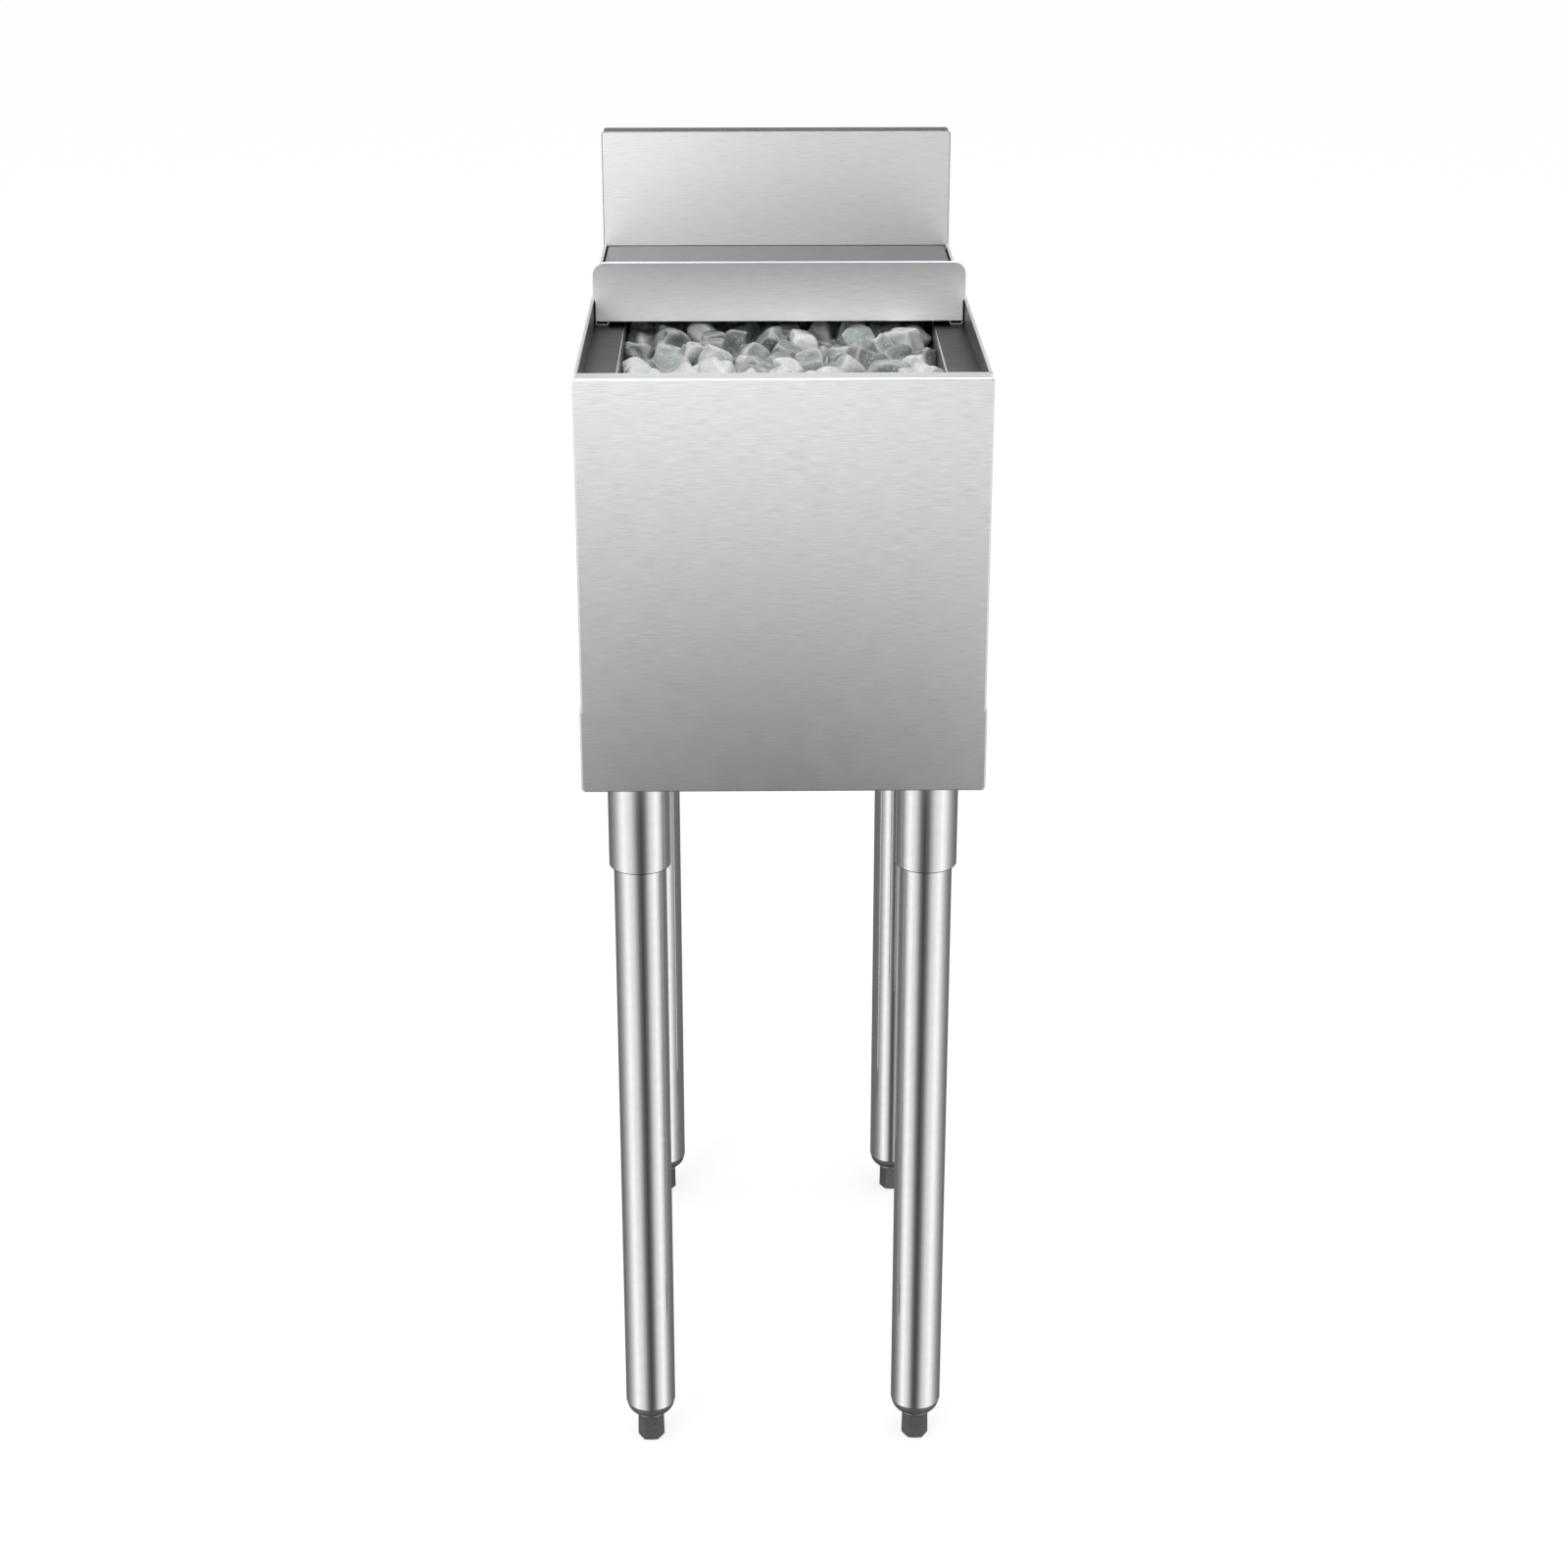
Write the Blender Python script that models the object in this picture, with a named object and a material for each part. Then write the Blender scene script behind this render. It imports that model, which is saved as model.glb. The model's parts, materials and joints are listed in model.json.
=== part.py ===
"""Underbar ice bin: an insulated steel well on four tubular legs, with a sliding lid and a backsplash.

Lengths are in metres. X runs across the bin, Y from its front to its back, Z up. The origin is on the
floor, under the middle of the bin.
"""
import bmesh
import bpy
from math import cos, pi, sin, tan
from mathutils import Matrix, Vector

for leftover in list(bpy.data.objects):
    bpy.data.objects.remove(leftover, do_unlink=True)

# The body: the size of its box, its sheet and the clearances that touching sheets keep.
BODY_WIDTH = 0.305
BODY_DEPTH = 0.530
BODY_HEIGHT = 0.320
LEG_CLEARANCE = 0.605
SHEET = 0.001
SEAM = 0.0003
BEND = 0.002
OVERRUN = 0.002

# The front panel, folded at the top into a deck and round the sides, and the folded rims of the sides.
DECK_DEPTH = 0.0184
PANEL_BEND = 0.0025
HEM_WIDTH = 0.0026
HEM_BEND = 0.0012

# The base: two bands outside the side panels, the floor pan and the channels that carry the legs.
BAND_HEIGHT = 0.064
BAND_SHEET = 0.0008
BAND_LAP = 0.010
BASE_LIP = 0.015
PAN_TOP = 0.028
PAN_FLANGE = 0.014
CHANNEL_SHEET = 0.0015
CHANNEL_WIDTH = 0.072

# The backsplash.
SPLASH_HEIGHT = 0.098
SPLASH_DEPTH = 0.0235
SPLASH_BEND = 0.003
SPLASH_LIP = 0.012

# The liner: a ledge for the lid's rails, and the well that holds the ice.
LEDGE_DROP = 0.021
LEDGE_CORNER = 0.001
SIDE_WALL = 0.0278
UNDER_WELL = 0.064
WELL_CORNER = 0.025
WELL_COVE = 0.020
FRONT_SHELF = 0.002
BACK_SHELF = 0.023
FLOOR_FALL = 0.003
SHELF_BEND_SHARE = 0.9

# The drain, in the middle of the well's floor.
DRAIN_BORE = 0.0125
DRAIN_SHANK = 0.0165
DRAIN_FLANGE = 0.033
DRAIN_LIP = 0.0015
DRAIN_TAIL = 0.045
DRAIN_FIT = 0.0005
STRAINER_RADIUS = 0.026
STRAINER_SHEET = 0.0012
STRAINER_HOLE = 0.0025
STRAINER_HOLES = 8
STRAINER_PITCH = 0.008
GASKET_THICKNESS = 0.003
LOCKNUT_THICKNESS = 0.007
LOCKNUT_RADIUS = 0.028
DRAIN_WELL = 0.036

# The lid: a folded sheet on two U-shaped rails, with an upright handle plate across its front.
LID_LENGTH = 0.2369
LID_SIDE_GAP = 0.0009
LID_BACK_GAP = 0.0006
LID_SINK = 0.0015
RAIL_WIDTH = 0.011
RAIL_UPTURN = 0.005
LID_FLANGE = 0.015
LID_FLANGE_INSET = 0.0015
HANDLE_THICKNESS = 0.0024
HANDLE_RISE = 0.031
HANDLE_BELOW = 0.0175
HANDLE_OVERHANG = 0.0008
HANDLE_NOTCH = 0.0016
HANDLE_CORNER = 0.009
HANDLE_EDGE = 0.0007

# The legs: tubes in sockets under the body, with a taper insert and a screw foot in each lower end.
LEG_INSET = 0.0405
FRONT_LEG_Y = 0.043
BACK_LEG_INSET = 0.063
LEG_RADIUS = 0.02065
LEG_WALL = 0.0012
LEG_END = 0.036
LEG_EDGE = 0.0008
SOCKET_RADIUS = 0.02415
SOCKET_DROP = 0.077
SOCKET_EDGE = 0.0006
PLATE_SIZE = 0.064
PLATE_THICKNESS = 0.003
BOLT_INSET = 0.006
BOLT_RADIUS = 0.003
BOLT_HEAD_RADIUS = 0.0056
BOLT_HEAD_HEIGHT = 0.004
SET_SCREW_RADIUS = 0.004
SET_SCREW_HEAD_RADIUS = 0.0072
SET_SCREW_HEAD_HEIGHT = 0.0055
SET_SCREW_DROP = 0.040
SET_SCREW_STAND = 0.004
INSERT_PLUG = 0.030
INSERT_NOSE = 0.0117
INSERT_TOP_RADIUS = 0.0200
INSERT_MOUTH_RADIUS = 0.0136
INSERT_LIP = 0.0006
INSERT_WAIST_SHARE = 2 / 3
INSERT_WAIST_DROP_SHARE = 0.42
STEM_RADIUS = 0.006
STEM_LENGTH = 0.050
FOOT_CORNER_RADIUS = 0.01115
FOOT_CHAMFER = 0.0012

# Counts: the facets of a bend, of a corner and of a turned piece. Then the angles and the profile that
# tell a bend from a flat, and how near two points count as one.
BEND_STEPS = 3
CORNER_STEPS = 5
COVE_STEPS = 4
EDGE_STEPS = 2
TUBE_SIDES = 40
SMALL_SIDES = 24
STEM_SIDES = 16
SCREW_HOLE_SIDES = 12
STRAINER_HOLE_SIDES = 8
HEX_SIDES = 6
SHARP_ANGLE = pi / 5
BEND_ANGLE = pi / 3
ROUND_PROFILE_SHARE = 0.5
NEAR = SEAM / 10

# Places worked out from the sizes above, measured from the body's front face and its underside.
HALF_WIDTH = BODY_WIDTH / 2
SPLASH_FACE = BODY_DEPTH - SPLASH_DEPTH
LEDGE = BODY_HEIGHT - LEDGE_DROP
INSIDE_HALF_WIDTH = HALF_WIDTH - SHEET - SEAM
INSIDE_FRONT = SHEET + SEAM
INSIDE_BACK = BODY_DEPTH - SHEET - SEAM
BAND_HALF_WIDTH = HALF_WIDTH + SEAM + BAND_SHEET
WELL_FRONT = DECK_DEPTH + FRONT_SHELF
WELL_BACK = SPLASH_FACE - BACK_SHELF
WELL_HALF_WIDTH = HALF_WIDTH - SIDE_WALL
WELL_FLOOR = UNDER_WELL
DRAIN_Y = (WELL_FRONT + WELL_BACK) / 2
DRAIN_FLOOR = WELL_FLOOR - FLOOR_FALL
HEM_INSIDE = HALF_WIDTH - HEM_WIDTH
RAIL_CLEARANCE = LEDGE + SEAM
LEG_HALF_SPACING = HALF_WIDTH - LEG_INSET
BACK_LEG_Y = BODY_DEPTH - BACK_LEG_INSET
LEG_DROP = LEG_CLEARANCE - LEG_END


def material(name, colour, roughness, metallic):
    """A Principled BSDF with one colour, roughness and metallic value."""
    made = bpy.data.materials.new(name)
    made.use_nodes = True
    shader = made.node_tree.nodes["Principled BSDF"]
    shader.inputs["Base Color"].default_value = (*colour, 1)
    shader.inputs["Roughness"].default_value = roughness
    shader.inputs["Metallic"].default_value = metallic
    return made


BRUSHED = material("brushed_stainless", (0.72, 0.72, 0.73), 0.32, 1)
DULL = material("inner_stainless", (0.42, 0.41, 0.41), 0.38, 1)
POLISHED = material("polished_stainless", (0.80, 0.80, 0.80), 0.12, 1)
DARK = material("dark_cast_steel", (0.12, 0.12, 0.12), 0.45, 1)
ZINC = material("zinc_plate", (0.62, 0.63, 0.64), 0.35, 1)
FOAM = material("foam_board", (0.86, 0.82, 0.66), 0.90, 0)
RUBBER = material("rubber", (0.04, 0.04, 0.04), 0.80, 0)


def empty(name, place, parent=None):
    """An empty that carries a group of pieces."""
    made = bpy.data.objects.new(name, None)
    made.location = place
    made.parent = parent
    bpy.context.scene.collection.objects.link(made)
    return made


def piece(name, bm, finish, parent, place=(0, 0, 0), smooth=True):
    """Turn a bmesh into a named object on its parent."""
    mesh = bpy.data.meshes.new(name)
    bm.normal_update()
    bm.to_mesh(mesh)
    bm.free()
    mesh.materials.append(finish)
    if smooth:
        mesh.shade_smooth()
        mesh.set_sharp_from_angle(angle=SHARP_ANGLE)
    made = bpy.data.objects.new(name, mesh)
    made.location = place
    made.parent = parent
    bpy.context.scene.collection.objects.link(made)
    return made


def thicken(target, thickness):
    """Give a sheet its thickness, on the inner side of the face that was drawn."""
    solid = target.modifiers.new("sheet thickness", "SOLIDIFY")
    solid.thickness = thickness
    solid.offset = -1
    solid.use_even_offset = True
    solid.use_quality_normals = True


def combine(target, tool, operation):
    """Cut a tool out of a piece, add it, or keep what they share. The tool itself stays hidden."""
    tool.hide_render = True
    tool.display_type = "WIRE"
    step = target.modifiers.new(operation.lower(), "BOOLEAN")
    step.operation = operation
    step.solver = "EXACT"
    step.object = tool


def fillet(points, radius, steps=BEND_STEPS):
    """An open outline with each inner corner rounded to a radius."""
    outline = [Vector(points[0])]
    for before, corner, after in zip(points, points[1:], points[2:]):
        corner = Vector(corner)
        back = (Vector(before) - corner).normalized()
        ahead = (Vector(after) - corner).normalized()
        half = back.angle(ahead) / 2
        centre = corner + (back + ahead).normalized() * (radius / sin(half))
        start = corner + back * (radius / tan(half)) - centre
        turn = (pi - 2 * half) * (1 if back.cross(ahead) < 0 else -1)
        for step in range(steps + 1):
            outline.append(centre + Matrix.Rotation(turn * step / steps, 2) @ start)
    outline.append(Vector(points[-1]))
    return outline


def strips(bm, rows):
    """Faces between rows of points; returns the rows of vertices."""
    grid = [[bm.verts.new(point) for point in row] for row in rows]
    for near, far in zip(grid, grid[1:]):
        for index in range(len(near) - 1):
            bm.faces.new((near[index], near[index + 1], far[index + 1], far[index]))
    return grid


def face_outwards(bm, inside):
    """Turn the faces of an open sheet so that they look away from a point on its inner side."""
    bm.faces.ensure_lookup_table()
    bmesh.ops.recalc_face_normals(bm, faces=bm.faces)
    bm.normal_update()
    away = 0
    for face in bm.faces:
        outwards = face.calc_center_median() - Vector(inside)
        away += outwards.dot(face.normal) * face.calc_area()
    if away < 0:
        bmesh.ops.reverse_faces(bm, faces=bm.faces)


def folded_sheet(name, outline, along, span, thickness, finish, parent, inside):
    """A sheet folded to an outline and drawn out along one axis: 0 is X, 1 is Y."""
    bm = bmesh.new()
    rows = []
    for place in span:
        rows.append([(place, a, b) if along == 0 else (a, place, b) for a, b in outline])
    strips(bm, rows)
    face_outwards(bm, inside)
    made = piece(name, bm, finish, parent)
    thicken(made, thickness)
    return made


def tray(bm, levels, depth, front, bend, with_floor):
    """An open-backed box of sheet: a front, two sides, a top and perhaps a floor, with bent edges.

    levels holds the height and the half width of each row of corners, lowest first.
    """
    rows = []
    for height, half in levels:
        corners = ((-half, front + depth), (-half, front), (half, front), (half, front + depth))
        rows.append([(x, y, height) for x, y in corners])
    grid = strips(bm, rows)
    bm.faces.new(grid[-1])
    if with_floor:
        bm.faces.new(grid[0][::-1])
    bends = []
    for edge in bm.edges:
        if len(edge.link_faces) != 2:
            continue
        if edge.calc_face_angle(0) > BEND_ANGLE:
            bends.append(edge)
    bmesh.ops.bevel(
        bm, geom=bends, offset=bend, offset_type="OFFSET", segments=BEND_STEPS,
        profile=ROUND_PROFILE_SHARE, affect="EDGES", clamp_overlap=False,
    )


def edges_at(bm, test):
    """The edges whose two ends pass a test."""
    return [edge for edge in bm.edges if edge.is_boundary and all(test(vertex.co) for vertex in edge.verts)]


def extend(bm, edges, offsets):
    """Draw a row of edges out along a list of offsets; returns the last row."""
    for offset in offsets:
        grown = bmesh.ops.extrude_edge_only(bm, edges=edges)["geom"]
        moved = [item for item in grown if isinstance(item, bmesh.types.BMVert)]
        edges = [item for item in grown if isinstance(item, bmesh.types.BMEdge) and item.is_boundary]
        edges = [item for item in edges if all(vertex in moved for vertex in item.verts)]
        bmesh.ops.translate(bm, verts=moved, vec=offset)
    return edges


def block(name, low, high, finish, parent, place=(0, 0, 0)):
    """A plain block between two corners."""
    bm = bmesh.new()
    bmesh.ops.create_cube(bm, size=1)
    size = Vector(high) - Vector(low)
    middle = (Vector(high) + Vector(low)) / 2
    bmesh.ops.scale(bm, verts=bm.verts, vec=size)
    bmesh.ops.translate(bm, verts=bm.verts, vec=middle)
    return piece(name, bm, finish, parent, place, smooth=False)


def turned(name, outline, finish, parent, place=(0, 0, 0), sides=TUBE_SIDES, turn=0):
    """A turned piece: an outline of radius and height, from the axis and back to it, or round a bore."""
    bm = bmesh.new()
    on_axis = outline[0][0] == 0
    rings = []
    for radius, height in outline:
        if radius == 0:
            rings.append([bm.verts.new((0, 0, height))])
            continue
        ring = []
        for side in range(sides):
            angle = turn + 2 * pi * side / sides
            ring.append(bm.verts.new((radius * cos(angle), radius * sin(angle), height)))
        rings.append(ring)
    pairs = list(zip(rings, rings[1:]))
    if not on_axis:
        pairs.append((rings[-1], rings[0]))
    for near, far in pairs:
        for side in range(sides):
            after = (side + 1) % sides
            if len(near) == 1:
                bm.faces.new((near[0], far[after], far[side]))
            elif len(far) == 1:
                bm.faces.new((near[side], near[after], far[0]))
            else:
                bm.faces.new((near[side], near[after], far[after], far[side]))
    bmesh.ops.recalc_face_normals(bm, faces=bm.faces)
    return piece(name, bm, finish, parent, place)


def drill(name, radius, low, high, place, parent, sides=SMALL_SIDES):
    """A hidden round cutter along Z, a little longer than what it cuts."""
    outline = ((0, low - OVERRUN), (radius, low - OVERRUN), (radius, high + OVERRUN), (0, high + OVERRUN))
    cutter = turned(name, outline, ZINC, parent, place, sides)
    return cutter


BODY = empty("bin_body", (0, -BODY_DEPTH / 2, LEG_CLEARANCE))


def make_front_panel():
    """The front sheet, folded back into the deck and the returns; its foot steps out over the bands."""
    bm = bmesh.new()
    step = BAND_HALF_WIDTH - HALF_WIDTH
    levels = (
        (0, BAND_HALF_WIDTH),
        (BAND_HEIGHT, BAND_HALF_WIDTH),
        (BAND_HEIGHT + step, HALF_WIDTH),
        (BODY_HEIGHT, HALF_WIDTH),
    )
    tray(bm, levels, DECK_DEPTH, 0, PANEL_BEND, with_floor=True)
    edge_of_deck = edges_at(
        bm,
        lambda p: p.y > DECK_DEPTH - NEAR and p.z > BODY_HEIGHT - NEAR
        and abs(p.x) < HALF_WIDTH - PANEL_BEND + NEAR,
    )
    drop = LEDGE_DROP - SEAM
    extend(bm, edge_of_deck, [Vector((0, 0, -drop))])
    face_outwards(bm, (0, DECK_DEPTH / 2, BODY_HEIGHT / 2))
    made = piece("front_panel", bm, BRUSHED, BODY)
    thicken(made, SHEET)


def make_side_panel(name, side):
    """A side sheet whose top is folded over into the rim and down to the ledge."""
    profile = fillet(
        (
            (HALF_WIDTH, BAND_HEIGHT - BAND_LAP),
            (HALF_WIDTH, BODY_HEIGHT),
            (HEM_INSIDE, BODY_HEIGHT),
            (HEM_INSIDE, RAIL_CLEARANCE),
        ),
        HEM_BEND,
    )
    bm = bmesh.new()
    rim_span = (DECK_DEPTH + SEAM, SPLASH_FACE - SEAM)
    rows = [[(side * x, y, z) for x, z in profile] for y in rim_span]
    grid = strips(bm, rows)
    rear = [bm.verts.new((side * x, BODY_DEPTH, z)) for x, z in profile[:2]]
    bm.faces.new((grid[1][0], grid[1][1], rear[1], rear[0]))
    face_outwards(bm, (side * (HALF_WIDTH - SHEET), BODY_DEPTH / 2, BODY_HEIGHT / 2))
    made = piece(name, bm, BRUSHED, BODY)
    thicken(made, SHEET)


def make_back_panel():
    """The back sheet, with a lip under the base and a flange under the backsplash."""
    half = INSIDE_HALF_WIDTH
    foot = BAND_SHEET + SEAM
    top = BODY_HEIGHT - HEM_BEND
    outline = fillet(
        (
            (BODY_DEPTH - BASE_LIP, foot),
            (BODY_DEPTH, foot),
            (BODY_DEPTH, top),
            (SPLASH_FACE + SHEET + SEAM, top),
        ),
        BEND,
    )
    inside = (0, BODY_DEPTH / 2, BODY_HEIGHT / 2)
    folded_sheet("back_panel", outline, 0, (-half, half), SHEET, BRUSHED, BODY, inside)


def make_base_band(name, side):
    """A band round the foot of a side panel, turned in under the base."""
    outline = fillet(
        (
            (side * BAND_HALF_WIDTH, BAND_HEIGHT),
            (side * BAND_HALF_WIDTH, 0),
            (side * (BAND_HALF_WIDTH - BASE_LIP), 0),
        ),
        BEND,
    )
    span = (DECK_DEPTH + SEAM, BODY_DEPTH)
    folded_sheet(name, outline, 1, span, BAND_SHEET, BRUSHED, BODY, (0, BODY_DEPTH / 2, BAND_HEIGHT))


def make_bottom_pan():
    """The floor pan under the insulation, with its edges turned down and a hole for the drain."""
    half = BAND_HALF_WIDTH - SHEET - SEAM
    bm = bmesh.new()
    low = PAN_TOP - PAN_FLANGE
    corners = ((-half, INSIDE_FRONT), (half, INSIDE_FRONT), (half, INSIDE_BACK), (-half, INSIDE_BACK))
    rows = [[(x, y, height) for x, y in (*corners, corners[0])] for height in (low, PAN_TOP)]
    grid = strips(bm, rows)
    bm.faces.new(grid[1][:-1])
    bmesh.ops.remove_doubles(bm, verts=bm.verts, dist=NEAR)
    bends = [edge for edge in bm.edges if len(edge.link_faces) == 2]
    bmesh.ops.bevel(
        bm, geom=bends, offset=BEND, offset_type="OFFSET", segments=BEND_STEPS,
        profile=ROUND_PROFILE_SHARE, affect="EDGES", clamp_overlap=False,
    )
    face_outwards(bm, (0, BODY_DEPTH / 2, low))
    made = piece("bottom_pan", bm, ZINC, BODY)
    thicken(made, SHEET)
    hole = drill("pan_hole", DRAIN_SHANK + DRAIN_FIT, low, PAN_TOP, (0, DRAIN_Y, 0), BODY)
    combine(made, hole, "DIFFERENCE")


def make_channel(name, y):
    """A cross channel under the pan, open below, that carries the sockets of two legs."""
    half = BAND_HALF_WIDTH - SEAM - 2 * SHEET - BEND
    top = PAN_TOP - SHEET - SEAM
    foot = SHEET + SEAM
    outline = fillet(
        (
            (y - CHANNEL_WIDTH / 2, foot),
            (y - CHANNEL_WIDTH / 2, top),
            (y + CHANNEL_WIDTH / 2, top),
            (y + CHANNEL_WIDTH / 2, foot),
        ),
        BEND,
    )
    made = folded_sheet(name, outline, 0, (-half, half), CHANNEL_SHEET, ZINC, BODY, (0, y, foot))
    for number, (x, hole_y) in enumerate(bolt_places(y)):
        place = (x, hole_y, 0)
        hole = drill(f"{name}_hole_{number}", BOLT_RADIUS + SEAM, top - CHANNEL_SHEET, top, place, BODY)
        combine(made, hole, "DIFFERENCE")


def bolt_places(y):
    """Where the bolts of the two sockets of one channel stand."""
    reach = PLATE_SIZE / 2 - BOLT_INSET
    places = []
    for side in (-1, 1):
        for end in (-1, 1):
            places.append((side * (LEG_HALF_SPACING + end * reach), y + end * reach))
    return places


def ring(half, front, back, radius, height):
    """The points of a rectangle with round corners, seen from above."""
    corners = (
        (half - radius, back - radius),
        (-half + radius, back - radius),
        (-half + radius, front + radius),
        (half - radius, front + radius),
    )
    points = []
    for quarter, (x, y) in enumerate(corners):
        for step in range(CORNER_STEPS + 1):
            angle = pi / 2 * (quarter + step / CORNER_STEPS)
            points.append((x + radius * cos(angle), y + radius * sin(angle), height))
    return points


def round_hole(radius, y, height):
    """The points of a circle that match those of a ring, one for one."""
    count = 4 * (CORNER_STEPS + 1)
    points = []
    for index in range(count):
        angle = 2 * pi * (index + 0.5) / count
        points.append((radius * cos(angle), y + radius * sin(angle), height))
    return points


def make_liner():
    """The pressed liner: ledge, well with coved corners, and a floor that falls to the drain hole."""

    def well_ring(offset, height):
        return ring(
            WELL_HALF_WIDTH + offset, WELL_FRONT - offset, WELL_BACK + offset, WELL_CORNER + offset, height
        )

    rows = [ring(INSIDE_HALF_WIDTH, INSIDE_FRONT, INSIDE_BACK, LEDGE_CORNER, LEDGE)]
    ledge_bend = min(BEND, FRONT_SHELF * SHELF_BEND_SHARE)
    for step in range(BEND_STEPS + 1):
        angle = pi / 2 * step / BEND_STEPS
        rows.append(well_ring(ledge_bend * (1 - sin(angle)), LEDGE - ledge_bend * (1 - cos(angle))))
    for step in range(COVE_STEPS + 1):
        angle = pi / 2 * step / COVE_STEPS
        rows.append(well_ring(-WELL_COVE * (1 - cos(angle)), WELL_FLOOR + WELL_COVE * (1 - sin(angle))))
    rows.append(round_hole(DRAIN_SHANK + DRAIN_FIT, DRAIN_Y, DRAIN_FLOOR))
    bm = bmesh.new()
    strips(bm, [[*row, row[0]] for row in rows])
    bmesh.ops.remove_doubles(bm, verts=bm.verts, dist=NEAR)
    face_outwards(bm, (0, DRAIN_Y, (WELL_FLOOR + LEDGE) / 2))
    bmesh.ops.reverse_faces(bm, faces=bm.faces)
    made = piece("liner", bm, DULL, BODY)
    thicken(made, SHEET)


def make_insulation():
    """Foam boards on the four sides of the well and under it."""
    base = PAN_TOP + SEAM
    top = LEDGE - SHEET - SEAM
    beside = WELL_HALF_WIDTH + SHEET + SEAM
    ahead = WELL_FRONT - SHEET - SEAM
    behind = WELL_BACK + SHEET + SEAM
    for name, side in (("insulation_left", -1), ("insulation_right", 1)):
        ends = sorted((side * beside, side * INSIDE_HALF_WIDTH))
        block(name, (ends[0], INSIDE_FRONT, base), (ends[1], INSIDE_BACK, top), FOAM, BODY)
    half = beside - SEAM
    block("insulation_front", (-half, INSIDE_FRONT, base), (half, ahead, top), FOAM, BODY)
    block("insulation_back", (-half, behind, base), (half, INSIDE_BACK, top), FOAM, BODY)

    bm = bmesh.new()
    front = ahead + SEAM
    back = behind - SEAM
    under_floor = WELL_FLOOR - SHEET - SEAM
    rows = [
        ring(half, front, back, LEDGE_CORNER, base),
        ring(half, front, back, LEDGE_CORNER, under_floor),
        round_hole(DRAIN_WELL, DRAIN_Y, under_floor - FLOOR_FALL),
        round_hole(DRAIN_WELL, DRAIN_Y, base),
        ring(half, front, back, LEDGE_CORNER, base),
    ]
    strips(bm, [[*row, row[0]] for row in rows])
    bmesh.ops.remove_doubles(bm, verts=bm.verts, dist=NEAR)
    bmesh.ops.recalc_face_normals(bm, faces=bm.faces)
    piece("insulation_bottom", bm, FOAM, BODY, smooth=False)


def make_drain():
    """The drain: a flanged body through the floor, a strainer, and a gasket and locknut below."""
    place = (0, DRAIN_Y, DRAIN_FLOOR)
    seat = SEAM + FLOOR_FALL * (DRAIN_FLANGE / WELL_HALF_WIDTH)
    dish = seat + DRAIN_LIP
    tail = -(DRAIN_FLOOR + DRAIN_TAIL)
    shoulder = STRAINER_RADIUS + SEAM
    body = (
        (DRAIN_BORE, dish - DRAIN_LIP / 2),
        (shoulder, dish - DRAIN_LIP / 2),
        (shoulder, dish + DRAIN_LIP / 2),
        (DRAIN_FLANGE - DRAIN_LIP, dish + DRAIN_LIP / 2),
        (DRAIN_FLANGE, seat + DRAIN_LIP / 2),
        (DRAIN_FLANGE, seat),
        (DRAIN_SHANK, seat),
        (DRAIN_SHANK, tail),
        (DRAIN_BORE, tail),
    )
    turned("drain_body", body, POLISHED, BODY, place, SMALL_SIDES)

    low = dish - DRAIN_LIP / 2 + SEAM
    top = low + STRAINER_SHEET
    strainer = turned(
        "drain_strainer",
        ((0, low), (STRAINER_RADIUS, low), (STRAINER_RADIUS, top), (0, top + SEAM)),
        POLISHED, BODY, place, SMALL_SIDES,
    )
    for number in range(STRAINER_HOLES):
        angle = 2 * pi * number / STRAINER_HOLES
        spot = (STRAINER_PITCH * cos(angle), DRAIN_Y + STRAINER_PITCH * sin(angle), DRAIN_FLOOR)
        hole = drill(f"strainer_hole_{number}", STRAINER_HOLE, low, top, spot, BODY, STRAINER_HOLE_SIDES)
        combine(strainer, hole, "DIFFERENCE")

    bore = DRAIN_SHANK + SEAM
    gasket_top = -SHEET - SEAM
    nut_top = gasket_top - GASKET_THICKNESS - SEAM
    washers = (
        ("drain_gasket", gasket_top, GASKET_THICKNESS, RUBBER),
        ("drain_locknut", nut_top, LOCKNUT_THICKNESS, POLISHED),
    )
    for name, upper, thickness, finish in washers:
        lower = upper - thickness
        section = ((bore, upper), (bore, lower), (LOCKNUT_RADIUS, lower), (LOCKNUT_RADIUS, upper))
        turned(name, section, finish, BODY, place, SMALL_SIDES)


def make_backsplash():
    """The backsplash: an open-backed folded box whose front runs down behind the lid to the ledge."""
    bm = bmesh.new()
    foot = BODY_HEIGHT - HEM_BEND + SEAM
    top = BODY_HEIGHT + SPLASH_HEIGHT
    levels = ((foot, HALF_WIDTH), (top, HALF_WIDTH))
    tray(bm, levels, SPLASH_DEPTH, SPLASH_FACE, SPLASH_BEND, with_floor=False)
    front_foot = edges_at(
        bm,
        lambda p: p.y < SPLASH_FACE + NEAR and p.z < foot + NEAR
        and abs(p.x) < HALF_WIDTH - SPLASH_BEND + NEAR,
    )
    extend(bm, front_foot, [Vector((0, 0, RAIL_CLEARANCE - foot))])
    rear = edges_at(bm, lambda p: p.y > BODY_DEPTH - NEAR)
    lip = extend(bm, rear, [Vector((0, 0, 0))])
    lip_half = HALF_WIDTH - SPLASH_LIP
    for vertex in {vertex for edge in lip for vertex in edge.verts}:
        vertex.co.x = max(-lip_half, min(lip_half, vertex.co.x))
        vertex.co.z = min(vertex.co.z, top - SPLASH_LIP)
    bmesh.ops.remove_doubles(bm, verts=bm.verts, dist=NEAR)
    face_outwards(bm, (0, SPLASH_FACE + SPLASH_DEPTH / 2, BODY_HEIGHT + SPLASH_HEIGHT / 2))
    made = piece("backsplash", bm, BRUSHED, BODY)
    thicken(made, SHEET)


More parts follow.
